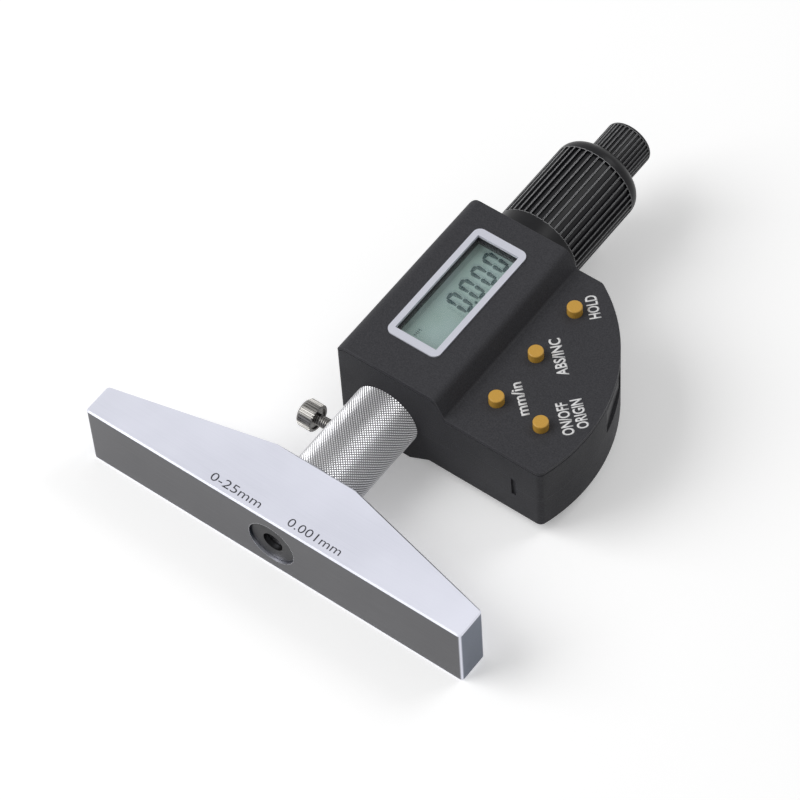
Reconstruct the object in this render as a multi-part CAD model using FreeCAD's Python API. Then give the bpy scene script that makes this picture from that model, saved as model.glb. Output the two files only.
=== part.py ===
"""Digital depth micrometer, 0-25 mm, lying with its display up.

X runs along the base bar, towards the housing's button lobe. Y runs along the spindle, from the
measuring face towards the ratchet. Z points out of the display. The origin is on the spindle's axis,
in the plane of the measuring face. Every solid is written to parts/ as one STEP file, in millimetres.
"""

import FreeCAD, Part
import math
import os

# ---- fits and clearances -------------------------------------------------------------------------
RUNNING_CLEARANCE = 0.05   # radial, between a turning or sliding shaft and its bore
BUTTON_CLEARANCE = 0.10    # radial, round a push button
LOOSE_CLEARANCE = 0.30     # between pieces that pass but do not guide each other
SEAT_GAP = 0.05            # beside a piece that is laid into a pocket
PAST = 1.0                 # how far a cutting shape runs past the face it opens
NEAR = 1e-5                # two places closer than this are the same

# ---- base bar ------------------------------------------------------------------------------------
BASE_LENGTH = 100.0
BASE_THICKNESS = 17.6
BASE_DEPTH = 16.9          # measuring face to the flat under the sleeve
BASE_END_DEPTH = 7.8       # at the two ends, where the slanted back edges start
BASE_FLAT_WIDTH = 21.0     # flat under the sleeve
BASE_EDGE = 0.35           # chamfer round the base's edges
BASE_CORNER = 0.9          # rounding of its upright end corners

# ---- bush, sleeve and measuring rod --------------------------------------------------------------
ROD_RADIUS = 2.5
ROD_SETBACK = 2.0          # rod tip behind the measuring face at rest
MEASURING_RANGE = 25.0
ROD_LENGTH = 48.0
ROD_EDGE = 0.25
BUSH_RADIUS = 5.98
BUSH_SETBACK = 0.6         # bush ring behind the measuring face
BUSH_EDGE = 0.3
SLEEVE_RADIUS = 8.15
SLEEVE_EDGE = 0.3
SLEEVE_BORE_GAP = 0.45     # radial, between rod and sleeve
STEM_RADIUS = 6.0          # sleeve's stem inside the housing
STEM_LENGTH = 7.0

# ---- lock screw ----------------------------------------------------------------------------------
LOCK_AXIS_Y = 31.5
LOCK_HEAD_RADIUS = 3.3
LOCK_HEAD_LENGTH = 4.0
LOCK_HEAD_GAP = 3.25       # head's inner face outside the sleeve
LOCK_RIB_COUNT = 30
LOCK_RIB_DEPTH = 0.22
LOCK_CUP_DEPTH = 0.35      # shallow recess in the head's inner face
LOCK_CUP_RIM = 0.5
LOCK_SHANK_RADIUS = 1.25
LOCK_PAD_LENGTH = 1.3
LOCK_PAD_GAP = 0.25        # pad to rod, unlocked

# ---- housing -------------------------------------------------------------------------------------
HOUSING_FRONT = 41.1
HOUSING_REAR = 90.2
BLOCK_LEFT = 12.9          # display block's left side from the axis
BLOCK_RIDGE = 13.5         # right edge of the display block's top
BLOCK_FOOT = 15.9          # where its right side meets the lobe's top
BLOCK_TOP = 16.0
LOBE_TOP = 10.9
LOBE_BOTTOM = 8.6          # below the axis
KEEL_BOTTOM = 11.85        # below the axis, under the spindle
KEEL_HALF_WIDTH = 5.6
KEEL_SHOULDER = 10.9       # where the keel's side meets the lobe's bottom
LEFT_SHOULDER_DROP = 7.2   # below the axis, at the left side
LOBE_RADIUS = 40.65
LOBE_CENTRE_X = 2.6
LOBE_CENTRE_Y = 54.9
WALL = 2.0
TOP_WALL = 1.2             # front shell under the cover plate
SPLIT_Z = 0.3              # parting plane of the two shells
COVER_THICKNESS = 1.0
SEAM = 0.3                 # height and depth of the seam under the cover's edge
BLOCK_TOP_ROUND = 3.0
RIDGE_ROUND = 1.9
FOOT_ROUND = 0.8
KEEL_ROUND = 0.9
REAR_CORNER_ROUND = 2.0
FRONT_CORNER_ROUND = 0.8
LOBE_CORNER_ROUND = 1.6
PRY_SLOT_X = 33.2
PRY_SLOT_WIDTH = 1.3
PRY_SLOT_HEIGHT = 5.6
PRY_SLOT_DEPTH = 0.5
STEP_HEIGHT = 3.1          # parting line's step left of the pry slot
STEP_LEFT = 17.5

# ---- display -------------------------------------------------------------------------------------
WINDOW_CENTRE_X = 0.65
WINDOW_CENTRE_Y = 67.0
WINDOW_WIDTH = 10.9
WINDOW_LENGTH = 30.4
BEZEL_WIDTH = 13.8
BEZEL_LENGTH = 34.3
BEZEL_THICKNESS = 0.8
BEZEL_PROUD = 0.3
BEZEL_CORNER = 1.8
GLASS_THICKNESS = 0.45
GLASS_LEDGE = 0.8
DISPLAY_DEPTH = 2.9        # cover's top to the display's surface
DISPLAY_THICKNESS = 1.6
DISPLAY_BORDER = 0.8
FRAME_WALL = 1.2
BOARD_THICKNESS = 1.0
DISPLAY_BOARD_GAP = 1.3    # display to its board

# ---- buttons -------------------------------------------------------------------------------------
BUTTON_RADIUS = 1.75
BUTTON_PROUD = 2.1
BUTTON_EDGE = 0.3
BUTTON_FLANGE = 0.6        # flange beyond the button's radius
FLANGE_THICKNESS = 0.6
BUTTON_STEM_RADIUS = 1.0
BUTTON_TRAVEL = 0.5
BUTTON_COLUMN_GAP = 6.4    # column of three buttons, from the block's foot
BUTTON_FRONT_GAP = 10.2    # first button, from the housing's front
BUTTON_PITCH = 14.5
BUTTON_RIM_INSET = 9.35    # the single button, from the lobe's far edge
SWITCH_SIZE = 3.2
SWITCH_HEIGHT = 1.6
SWITCH_PLUNGER_RADIUS = 0.8
SWITCH_PLUNGER_HEIGHT = 0.3

# ---- main board, battery and data port -----------------------------------------------------------
BOARD_BOTTOM = 1.4         # above the axis
BOARD_LEFT = 17.4
BOARD_REAR = 82.3
BATTERY_RIM_INSET = 16.25  # battery's axis from the lobe's far edge
BATTERY_Y = 63.0
BATTERY_RADIUS = 10.0
BATTERY_THICKNESS = 3.2
CONTACT_PAD_RADIUS = 5.0
BATTERY_COVER_RADIUS = 11.4
LUG_REACH = 1.1
LUG_THICKNESS = 0.9
LUG_ANGLE = 28.0
COIN_SLOT_LENGTH = 15.0
COIN_SLOT_WIDTH = 1.8
COIN_SLOT_DEPTH = 0.9
PORT_Y = 69.8
PORT_LENGTH = 12.6
PORT_HEIGHT = 8.0
PORT_CENTRE_Z = 4.6
PORT_PLATE = 1.0
PORT_RECESS = 0.25         # plate's face behind the chord of the curved side
PORT_PLUG_LENGTH = 8.4
PORT_PLUG_HEIGHT = 4.2
PORT_PLUG_DEPTH = 1.6
SOCKET_DEPTH = 3.0
CONTACT_COUNT = 5
CONTACT_WIDTH = 0.8
CONTACT_PITCH = 1.5
SCREW_RADIUS = 0.9
SCREW_HEAD_RADIUS = 1.7
SCREW_HEAD_HEIGHT = 1.2
SCREW_LENGTH = 12.0
SCREW_SETBACK = 0.3        # head's face behind the shell's
SCREW_SLOT_WIDTH = 0.45
SCREW_SLOT_DEPTH = 0.6
BOSS_RADIUS = 2.4
SCREW_LEFT_INSET = 4.1     # two screws, from the block's left side
SCREW_LEFT_FRONT_GAP = 19.9
SCREW_LEFT_PITCH = 16.5
SCREW_RIM_INSET = 6.25     # the lobe's front screw, from the lobe's far edge
SCREW_FRONT_INSET = 5.1    # and from the housing's front
SCREW_FOOT_GAP = 3.1       # the lobe's rear screw, from the block's foot
SCREW_REAR_INSET = 5.4     # and from the housing's rear

# ---- chassis and encoder -------------------------------------------------------------------------
CHASSIS_FRONT_PLATE = 5.0
CHASSIS_REAR_PLATE = 6.0
CHASSIS_RIGHT = 8.6
CHASSIS_TOP = 8.8          # above the axis
CHASSIS_WEB_TOP = 8.6      # below the axis
BEARING_PLATE = 3.2
BEARING_Y = 50.0
ROTOR_RADIUS = 8.2
ROTOR_THICKNESS = 1.0
ROTOR_HUB_RADIUS = 4.6
ROTOR_FLANGE = 0.7
KEY_WIDTH = 1.2
KEY_DEPTH = 0.6
KEYWAY_MARGIN = 3.0
STATOR_THICKNESS = 1.2
STATOR_GAP = 0.8

# ---- spindle, barrel and thimble -----------------------------------------------------------------
SPINDLE_RADIUS = 4.0
SPINDLE_START = 84.0
SPINDLE_LENGTH = 35.0
SPINDLE_TANG_RADIUS = 1.5
SPINDLE_TANG_LENGTH = 5.0
NUT_START = 84.0
NUT_RADIUS = 6.2
NUT_LENGTH = 9.0
BARREL_NECK_RADIUS = 7.0
BARREL_RADIUS = 8.6
BARREL_BORE_RADIUS = 5.2
BARREL_END = 118.0
THIMBLE_RADIUS = 10.7
THIMBLE_GAP = 0.3          # thimble's front edge to the housing
THIMBLE_BAND = 6.7         # smooth band in front of the ribs
THIMBLE_RIB_LENGTH = 21.8
THIMBLE_SHOULDER_LENGTH = 4.1
THIMBLE_SHOULDER_ROUND = 3.4
THIMBLE_END_WALL = 3.4
THIMBLE_RIB_COUNT = 40
THIMBLE_RIB_DEPTH = 0.55
THIMBLE_RIB_CREST = 0.32   # width of a rib's crest
RING_THICKNESS = 0.8
RING_SETBACK = 2.2
RING_INNER_DEPTH = 0.5     # ring's reach into the barrel
RING_OUTER_DEPTH = 0.5     # and into the thimble
SHAFT_WIDTH = 2.6
SHAFT_CLEARANCE = 0.08
SHAFT_ENGAGEMENT = 5.0     # shaft still inside the spindle when the rod is right out

# ---- ratchet -------------------------------------------------------------------------------------
KNOB_RADIUS = 5.9
KNOB_GAP = 0.3
KNOB_LENGTH = 10.4
KNOB_EDGE = 0.8
KNOB_WALL = 1.3
KNOB_END_WALL = 1.6
KNOB_RIB_COUNT = 34
KNOB_RIB_DEPTH = 0.3
KNOB_RIB_CREST = 0.3
KNOB_RIB_MARGIN = 0.9      # plain rim at each end of the knob
RATCHET_TEETH = 12
RATCHET_TOOTH = 0.5
RATCHET_WHEEL_RADIUS = 4.2
RATCHET_WHEEL_THICKNESS = 1.2
CLICK_PLATE_THICKNESS = 1.0
RATCHET_SCREW_RADIUS = 1.5
RATCHET_SCREW_HEAD = 2.6
RATCHET_SCREW_HEAD_HEIGHT = 1.1
SPRING_WIRE = 0.4
SPRING_LEG_RADIUS = 0.3
SPRING_TURNS = 4

# ---- places worked out from the sizes ------------------------------------------------------------
TRAVEL = ROD_SETBACK + MEASURING_RANGE
ROD_END = ROD_SETBACK + ROD_LENGTH
SPINDLE_END = SPINDLE_START + SPINDLE_LENGTH
NUT_END = NUT_START + NUT_LENGTH
CAVITY_FRONT = HOUSING_FRONT + WALL
CAVITY_REAR = HOUSING_REAR - WALL
THIMBLE_START = HOUSING_REAR + THIMBLE_GAP
RIB_START = THIMBLE_START + THIMBLE_BAND
RIB_END = RIB_START + THIMBLE_RIB_LENGTH
THIMBLE_END = RIB_END + THIMBLE_SHOULDER_LENGTH
KNOB_START = THIMBLE_END + KNOB_GAP
KNOB_END = KNOB_START + KNOB_LENGTH
COVER_UNDERSIDE = BLOCK_TOP - COVER_THICKNESS
BOARD_TOP = BOARD_BOTTOM + BOARD_THICKNESS
CHASSIS_REAR_START = CAVITY_REAR - LOOSE_CLEARANCE - CHASSIS_REAR_PLATE
LOBE_FAR_X = LOBE_CENTRE_X + LOBE_RADIUS
BATTERY_X = LOBE_FAR_X - BATTERY_RIM_INSET
BUTTON_COLUMN_X = BLOCK_FOOT + BUTTON_COLUMN_GAP
BUTTON_FRONT_Y = HOUSING_FRONT + BUTTON_FRONT_GAP
BUTTONS = {
    "button_inch": (BUTTON_COLUMN_X, BUTTON_FRONT_Y),
    "button_absolute": (BUTTON_COLUMN_X, BUTTON_FRONT_Y + BUTTON_PITCH),
    "button_hold": (BUTTON_COLUMN_X, BUTTON_FRONT_Y + 2 * BUTTON_PITCH),
    "button_origin": (LOBE_FAR_X - BUTTON_RIM_INSET, BUTTON_FRONT_Y),
}
SCREW_LEFT_X = SCREW_LEFT_INSET - BLOCK_LEFT
SCREW_LEFT_Y = HOUSING_FRONT + SCREW_LEFT_FRONT_GAP
SCREW_PLACES = (
    (SCREW_LEFT_X, SCREW_LEFT_Y),
    (SCREW_LEFT_X, SCREW_LEFT_Y + SCREW_LEFT_PITCH),
    (LOBE_FAR_X - SCREW_RIM_INSET, HOUSING_FRONT + SCREW_FRONT_INSET),
    (BLOCK_FOOT + SCREW_FOOT_GAP, HOUSING_REAR - SCREW_REAR_INSET),
)

ALONG_X = FreeCAD.Vector(1, 0, 0)
ALONG_Y = FreeCAD.Vector(0, 1, 0)
ALONG_Z = FreeCAD.Vector(0, 0, 1)


# ---- building blocks -----------------------------------------------------------------------------
def rod_y(radius, start, end, x=0.0, z=0.0):
    """A cylinder along Y from start to end."""
    return Part.makeCylinder(radius, end - start, FreeCAD.Vector(x, start, z), ALONG_Y)


def rod_x(radius, start, end, y, z=0.0):
    """A cylinder along X from start to end."""
    return Part.makeCylinder(radius, end - start, FreeCAD.Vector(start, y, z), ALONG_X)


def rod_z(radius, start, end, x, y):
    """A cylinder along Z from start to end."""
    return Part.makeCylinder(radius, end - start, FreeCAD.Vector(x, y, start), ALONG_Z)


def block(x_range, y_range, z_range):
    """A box between the two values of each range."""
    size = [high - low for low, high in (x_range, y_range, z_range)]
    return Part.makeBox(*size, FreeCAD.Vector(x_range[0], y_range[0], z_range[0]))


def centred(middle, width):
    """The range of the given width about its middle."""
    return (middle - width / 2, middle + width / 2)


def lathed(profile):
    """A solid turned about the Y axis from (radius, y) points."""
    points = [FreeCAD.Vector(radius, y, 0) for radius, y in profile]
    face = Part.Face(Part.makePolygon(points + points[:1]))
    return face.revolve(FreeCAD.Vector(0, 0, 0), ALONG_Y, 360)


def rounded_outline(corners, place):
    """A face inside corners (u, v, radius), each rounded by its own radius, laid out by place(u, v)."""
    starts, middles, ends = [], [], []
    for i, (u, v, radius) in enumerate(corners):
        corner = place(u, v)
        to_last = (place(*corners[i - 1][:2]) - corner).normalize()
        to_next = (place(*corners[(i + 1) % len(corners)][:2]) - corner).normalize()
        half = to_last.getAngle(to_next) / 2
        reach = radius / math.tan(half)
        starts.append(corner + to_last * reach)
        ends.append(corner + to_next * reach)
        bisector = (to_last + to_next).normalize()
        middles.append(corner + bisector * (radius / math.sin(half) - radius))
    edges = []
    for i, (_, _, radius) in enumerate(corners):
        if radius > 0:
            edges.append(Part.Arc(starts[i], middles[i], ends[i]).toShape())
        edges.append(Part.LineSegment(ends[i], starts[(i + 1) % len(corners)]).toShape())
    return Part.Face(Part.Wire(edges))


def inset_corners(corners, inset):
    """The corners of a counter-clockwise outline moved inwards by inset."""
    moved = []
    for i, (u, v, radius) in enumerate(corners):
        last_u, last_v, _ = corners[i - 1]
        next_u, next_v, _ = corners[(i + 1) % len(corners)]
        in_angle = math.atan2(v - last_v, u - last_u)
        out_angle = math.atan2(next_v - v, next_u - u)
        turn = math.remainder(out_angle - in_angle, 2 * math.pi)
        normal = (in_angle + turn / 2) + math.pi / 2
        reach = inset / math.cos(turn / 2)
        shrink = inset if turn > 0 else -inset
        moved.append(
            (u + reach * math.cos(normal), v + reach * math.sin(normal), max(radius - shrink, 0.0))
        )
    return moved


def ribbed_ring(radius, depth, crest, count):
    """A toothed outline in the XZ plane: narrow straight ribs with wide grooves between them."""
    pitch = 2 * math.pi / count
    half_crest = crest / radius / 2
    half_root = pitch / 2 - 2 * half_crest
    points = []
    for i in range(count):
        middle = i * pitch
        for angle, reach in (
            (middle - half_crest, radius),
            (middle + half_crest, radius),
            (middle + pitch / 2 - half_root, radius - depth),
            (middle + pitch / 2 + half_root, radius - depth),
        ):
            points.append(FreeCAD.Vector(reach * math.cos(angle), 0, reach * math.sin(angle)))
    return Part.Face(Part.makePolygon(points + points[:1]))


def ribs_between(outline, start, end):
    """The toothed outline pushed along Y from start to end."""
    return outline.translated(ALONG_Y * start).extrude(ALONG_Y * (end - start))


# ---- base, bush and sleeve -----------------------------------------------------------------------
def base_bar():
    half = BASE_LENGTH / 2
    flat = BASE_FLAT_WIDTH / 2
    corners = (
        (-half, 0, BASE_CORNER),
        (half, 0, BASE_CORNER),
        (half, BASE_END_DEPTH, BASE_CORNER),
        (flat, BASE_DEPTH, 0),
        (-flat, BASE_DEPTH, 0),
        (-half, BASE_END_DEPTH, BASE_CORNER),
    )
    low = -BASE_THICKNESS / 2
    outline = rounded_outline(corners, lambda u, v: FreeCAD.Vector(u, v, low))
    bar = outline.extrude(ALONG_Z * BASE_THICKNESS)
    level = [
        edge
        for edge in bar.Edges
        if abs(abs(edge.BoundBox.ZMin) + low) < NEAR and edge.BoundBox.ZLength < NEAR
    ]
    bar = bar.makeChamfer(BASE_EDGE, level)
    return bar.cut(rod_y(BUSH_RADIUS, -PAST, BASE_DEPTH + PAST))


def guide_bush():
    outer = lathed(
        (
            (0, BUSH_SETBACK),
            (BUSH_RADIUS - BUSH_EDGE, BUSH_SETBACK),
            (BUSH_RADIUS, BUSH_SETBACK + BUSH_EDGE),
            (BUSH_RADIUS, BASE_DEPTH),
            (0, BASE_DEPTH),
        )
    )
    bore = rod_y(ROD_RADIUS + RUNNING_CLEARANCE, 0, BASE_DEPTH + PAST)
    return outer.cut(bore)


def sleeve():
    stem_end = HOUSING_FRONT + STEM_LENGTH
    outer = lathed(
        (
            (0, BASE_DEPTH),
            (SLEEVE_RADIUS - SLEEVE_EDGE, BASE_DEPTH),
            (SLEEVE_RADIUS, BASE_DEPTH + SLEEVE_EDGE),
            (SLEEVE_RADIUS, HOUSING_FRONT - SLEEVE_EDGE),
            (SLEEVE_RADIUS - SLEEVE_EDGE, HOUSING_FRONT),
            (STEM_RADIUS, HOUSING_FRONT),
            (STEM_RADIUS, stem_end),
            (0, stem_end),
        )
    )
    bore = rod_y(ROD_RADIUS + SLEEVE_BORE_GAP, BASE_DEPTH - PAST, stem_end + PAST)
    lock_hole = rod_x(LOCK_SHANK_RADIUS + RUNNING_CLEARANCE, -SLEEVE_RADIUS - PAST, 0, LOCK_AXIS_Y)
    return outer.cut(bore).cut(lock_hole)


# ---- lock screw ----------------------------------------------------------------------------------
LOCK_HEAD_INNER = -(SLEEVE_RADIUS + LOCK_HEAD_GAP)
LOCK_HEAD_OUTER = LOCK_HEAD_INNER - LOCK_HEAD_LENGTH
LOCK_PAD_TIP = -(ROD_RADIUS + LOCK_PAD_GAP)
LOCK_SHANK_TIP = LOCK_PAD_TIP - LOCK_PAD_LENGTH


def lock_screw():
    """Ribbed head, cup in its inner face and plain shank, turned about an axis along X."""
    outline = ribbed_ring(LOCK_HEAD_RADIUS, LOCK_RIB_DEPTH, LOCK_RIB_DEPTH, LOCK_RIB_COUNT)
    head = outline.extrude(ALONG_Y * LOCK_HEAD_LENGTH)
    envelope = lathed(
        (
            (0, 0),
            (LOCK_HEAD_RADIUS - LOCK_RIB_DEPTH - LOCK_CUP_DEPTH, 0),
            (LOCK_HEAD_RADIUS, LOCK_RIB_DEPTH + LOCK_CUP_DEPTH),
            (LOCK_HEAD_RADIUS, LOCK_HEAD_LENGTH - LOCK_RIB_DEPTH),
            (LOCK_HEAD_RADIUS - LOCK_RIB_DEPTH, LOCK_HEAD_LENGTH),
            (0, LOCK_HEAD_LENGTH),
        )
    )
    cup_radius = LOCK_HEAD_RADIUS - LOCK_RIB_DEPTH - LOCK_CUP_RIM
    cup = rod_y(cup_radius, LOCK_HEAD_LENGTH - LOCK_CUP_DEPTH, LOCK_HEAD_LENGTH + PAST)
    shank_length = LOCK_SHANK_TIP - LOCK_HEAD_OUTER
    shank = rod_y(LOCK_SHANK_RADIUS, LOCK_HEAD_LENGTH / 2, shank_length)
    screw = head.common(envelope).cut(cup).fuse(shank)
    screw.rotate(FreeCAD.Vector(0, 0, 0), ALONG_Z, -90)
    screw.translate(FreeCAD.Vector(LOCK_HEAD_OUTER, LOCK_AXIS_Y, 0))
    return screw


def lock_pad():
    return rod_x(LOCK_SHANK_RADIUS, LOCK_SHANK_TIP, LOCK_PAD_TIP, LOCK_AXIS_Y)


# ---- housing shapes ------------------------------------------------------------------------------
def housing_section():
    """The housing's corners (x, z, radius) seen from the front, counter-clockwise."""
    far = LOBE_FAR_X + WALL
    return (
        (-KEEL_HALF_WIDTH, -KEEL_BOTTOM, KEEL_ROUND),
        (KEEL_HALF_WIDTH, -KEEL_BOTTOM, KEEL_ROUND),
        (KEEL_SHOULDER, -LOBE_BOTTOM, KEEL_ROUND),
        (far, -LOBE_BOTTOM, 0),
        (far, LOBE_TOP, 0),
        (BLOCK_FOOT, LOBE_TOP, FOOT_ROUND),
        (BLOCK_RIDGE, BLOCK_TOP, RIDGE_ROUND),
        (-BLOCK_LEFT, BLOCK_TOP, BLOCK_TOP_ROUND),
        (-BLOCK_LEFT, -LEFT_SHOULDER_DROP, BLOCK_TOP_ROUND),
    )


def section_prism(corners, drop=0.0):
    """The section pushed along the whole housing, lowered by drop."""
    start = HOUSING_FRONT - WALL
    outline = rounded_outline(corners, lambda u, v: FreeCAD.Vector(u, start, v - drop))
    return outline.extrude(ALONG_Y * (HOUSING_REAR + WALL - start))


def plan_column(inset, low, high):
    """The housing's plan, moved inwards by inset, as a column between two heights."""
    left = -BLOCK_LEFT + inset
    front = HOUSING_FRONT + inset
    rear = HOUSING_REAR - inset
    radius = LOBE_RADIUS - inset
    front_x = LOBE_CENTRE_X + math.sqrt(radius**2 - (LOBE_CENTRE_Y - front) ** 2)
    rear_x = LOBE_CENTRE_X + math.sqrt(radius**2 - (rear - LOBE_CENTRE_Y) ** 2)
    corners = [FreeCAD.Vector(left, front, low), FreeCAD.Vector(front_x, front, low)]
    corners += [FreeCAD.Vector(rear_x, rear, low), FreeCAD.Vector(left, rear, low)]
    half_angle = math.asin((LOBE_CENTRE_Y - front) / radius)
    far_angle = math.asin((rear - LOBE_CENTRE_Y) / radius)
    middle_angle = (far_angle - half_angle) / 2
    middle = FreeCAD.Vector(
        LOBE_CENTRE_X + radius * math.cos(middle_angle),
        LOBE_CENTRE_Y + radius * math.sin(middle_angle),
        low,
    )
    wire = Part.Wire(
        [
            Part.LineSegment(corners[0], corners[1]).toShape(),
            Part.Arc(corners[1], middle, corners[2]).toShape(),
            Part.LineSegment(corners[2], corners[3]).toShape(),
            Part.LineSegment(corners[3], corners[0]).toShape(),
        ]
    )
    column = Part.Face(wire).extrude(ALONG_Z * (high - low))
    rounds = (FRONT_CORNER_ROUND, LOBE_CORNER_ROUND, REAR_CORNER_ROUND, REAR_CORNER_ROUND)
    for corner, round_radius in zip(corners, rounds):
        if round_radius > inset:
            column = column.makeFillet(round_radius - inset, [upright_edge(column, corner)])
    return column


def upright_edge(solid, corner):
    """The solid's edge along Z that passes through the corner."""
    for edge in solid.Edges:
        box = edge.BoundBox
        level = box.XLength < NEAR and box.YLength < NEAR
        if level and math.hypot(box.XMin - corner.x, box.YMin - corner.y) < NEAR:
            return edge
    raise ValueError("no upright edge at the corner")


LOW = -KEEL_BOTTOM - PAST
HIGH = BLOCK_TOP + PAST


def housing_body(inset=0.0, drop=0.0):
    """The housing's outside, with its plan moved in by inset and its section lowered by drop."""
    return section_prism(housing_section(), drop).common(plan_column(inset, LOW - drop, HIGH))


def housing_cavity():
    """The space inside both shells."""
    section = inset_corners(housing_section(), COVER_THICKNESS + TOP_WALL)
    return section_prism(section).common(plan_column(WALL, LOW, HIGH))


def display_column(margin, low, high):
    """An upright column as wide as the display window plus a margin all round."""
    return block(
        centred(WINDOW_CENTRE_X, WINDOW_WIDTH + 2 * margin),
        centred(WINDOW_CENTRE_Y, WINDOW_LENGTH + 2 * margin),
        (low, high),
    )


def bezel_column(margin, low, high):
    """An upright column as wide as the bezel plus a margin all round, with rounded corners."""
    left, right = centred(WINDOW_CENTRE_X, BEZEL_WIDTH + 2 * margin)
    front, rear = centred(WINDOW_CENTRE_Y, BEZEL_LENGTH + 2 * margin)
    radius = BEZEL_CORNER + margin
    corners = (
        (left, front, radius),
        (right, front, radius),
        (right, rear, radius),
        (left, rear, radius),
    )
    outline = rounded_outline(corners, lambda u, v: FreeCAD.Vector(u, v, low))
    return outline.extrude(ALONG_Z * (high - low))


def button_holes(solid):
    """The solid with a running hole for each button."""
    for x, y in BUTTONS.values():
        solid = solid.cut(rod_z(BUTTON_RADIUS + BUTTON_CLEARANCE, 0, HIGH, x, y))
    return solid


# ---- cover, bezel, window ------------------------------------------------------------------------
BEZEL_SEAT = BLOCK_TOP + BEZEL_PROUD - BEZEL_THICKNESS


def top_cover():
    below = housing_body(-WALL, COVER_THICKNESS)
    plate = housing_body().cut(below).common(
        block((-BASE_LENGTH, BASE_LENGTH), (0, HOUSING_REAR + WALL), (0, HIGH))
    )
    plate = largest(plate)
    plate = plate.cut(display_column(GLASS_LEDGE, 0, HIGH))
    plate = plate.cut(bezel_column(SEAT_GAP, BEZEL_SEAT, HIGH))
    return button_holes(plate)


def largest(shape):
    """The largest solid of a shape."""
    return max(shape.Solids, key=lambda solid: solid.Volume)


def display_bezel():
    ring = bezel_column(0, BEZEL_SEAT, BLOCK_TOP + BEZEL_PROUD)
    return ring.cut(display_column(0, 0, HIGH))


def display_window():
    margin = GLASS_LEDGE - SEAT_GAP
    return display_column(margin, COVER_UNDERSIDE, COVER_UNDERSIDE + GLASS_THICKNESS)


# ---- shells --------------------------------------------------------------------------------------
SCREW_BOTTOM = -LOBE_BOTTOM + SCREW_SETBACK
SCREW_NECK = SCREW_BOTTOM + SCREW_HEAD_HEIGHT


def screw_bosses(low, high):
    """The solid bosses that the shell screws pass through, ending below the display's board."""
    bosses = []
    for x, y in SCREW_PLACES:
        beside_display = x < BLOCK_RIDGE
        top = min(high, DISPLAY_BOARD_TOP - BOARD_THICKNESS - LOOSE_CLEARANCE) if beside_display else high
        bosses.append(rod_z(BOSS_RADIUS, low, top, x, y))
    return bosses[0].multiFuse(bosses[1:])


def without_screws(solid):
    """The solid with the screws' holes and head pockets."""
    for x, y in SCREW_PLACES:
        solid = solid.cut(rod_z(SCREW_RADIUS, LOW, SCREW_NECK + SCREW_LENGTH, x, y))
        solid = solid.cut(rod_z(SCREW_HEAD_RADIUS + SEAT_GAP, LOW, SCREW_NECK, x, y))
    return solid


def step_block(clearance):
    """The part of the front wall that belongs to the back shell above the parting plane."""
    right = PRY_SLOT_X - clearance
    left = STEP_LEFT + clearance
    return block(
        (left, right),
        (HOUSING_FRONT - PAST, CAVITY_FRONT - clearance),
        (SPLIT_Z - PAST, SPLIT_Z + STEP_HEIGHT - clearance),
    )


def pry_slot():
    return block(
        (PRY_SLOT_X, PRY_SLOT_X + PRY_SLOT_WIDTH),
        (HOUSING_FRONT - PAST, HOUSING_FRONT + PRY_SLOT_DEPTH),
        centred(SPLIT_Z, PRY_SLOT_HEIGHT),
    )


def front_shell():
    lower = housing_body(0, COVER_THICKNESS + SEAM)
    neck = housing_body(SEAM, COVER_THICKNESS)
    shell = lower.fuse(neck).cut(housing_cavity())
    shell = shell.common(block((-BASE_LENGTH, BASE_LENGTH), (0, KNOB_END), (SPLIT_Z, HIGH)))
    bosses = screw_bosses(SPLIT_Z, LOBE_TOP - COVER_THICKNESS - TOP_WALL / 2)
    shell = largest(shell).fuse(bosses)
    shell = shell.cut(display_column(0, 0, HIGH))
    shell = shell.cut(step_block(0)).cut(pry_slot()).cut(port_opening())
    shell = shell.cut(rod_y(STEM_RADIUS, HOUSING_FRONT - PAST, CAVITY_FRONT + PAST))
    shell = shell.cut(rod_y(BARREL_NECK_RADIUS, CAVITY_REAR - PAST, HOUSING_REAR + PAST))
    return without_screws(button_holes(shell)).removeSplitter()


def back_shell():
    shell = housing_body().cut(housing_cavity())
    shell = shell.common(block((-BASE_LENGTH, BASE_LENGTH), (0, KNOB_END), (LOW, SPLIT_Z)))
    tongue = step_block(SEAT_GAP).common(housing_body())
    shell = shell.fuse(tongue).fuse(screw_bosses(-LOBE_BOTTOM + WALL / 2, SPLIT_Z))
    shell = shell.cut(pry_slot()).cut(battery_opening())
    shell = shell.cut(rod_y(STEM_RADIUS, HOUSING_FRONT - PAST, CAVITY_FRONT + PAST))
    shell = shell.cut(rod_y(BARREL_NECK_RADIUS, CAVITY_REAR - PAST, HOUSING_REAR + PAST))
    return without_screws(shell).removeSplitter()


def shell_screws():
    screws = []
    for x, y in SCREW_PLACES:
        head = rod_z(SCREW_HEAD_RADIUS, SCREW_BOTTOM, SCREW_NECK, x, y)
        shank = rod_z(SCREW_RADIUS, SCREW_NECK, SCREW_NECK + SCREW_LENGTH, x, y)
        slot = block(
            centred(x, SCREW_SLOT_WIDTH),
            centred(y, 2 * SCREW_RADIUS),
            (SCREW_BOTTOM - PAST, SCREW_BOTTOM + SCREW_SLOT_DEPTH),
        )
        cross = slot.copy()
        cross.rotate(FreeCAD.Vector(x, y, 0), ALONG_Z, 90)
        screws.append(head.fuse(shank).cut(slot).cut(cross))
    return Part.makeCompound(screws)


# ---- display stack -------------------------------------------------------------------------------
DISPLAY_TOP = BLOCK_TOP - DISPLAY_DEPTH
DISPLAY_BOTTOM = DISPLAY_TOP - DISPLAY_THICKNESS
DISPLAY_BOARD_TOP = DISPLAY_BOTTOM - DISPLAY_BOARD_GAP
SHELL_UNDERSIDE = COVER_UNDERSIDE - TOP_WALL


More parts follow.
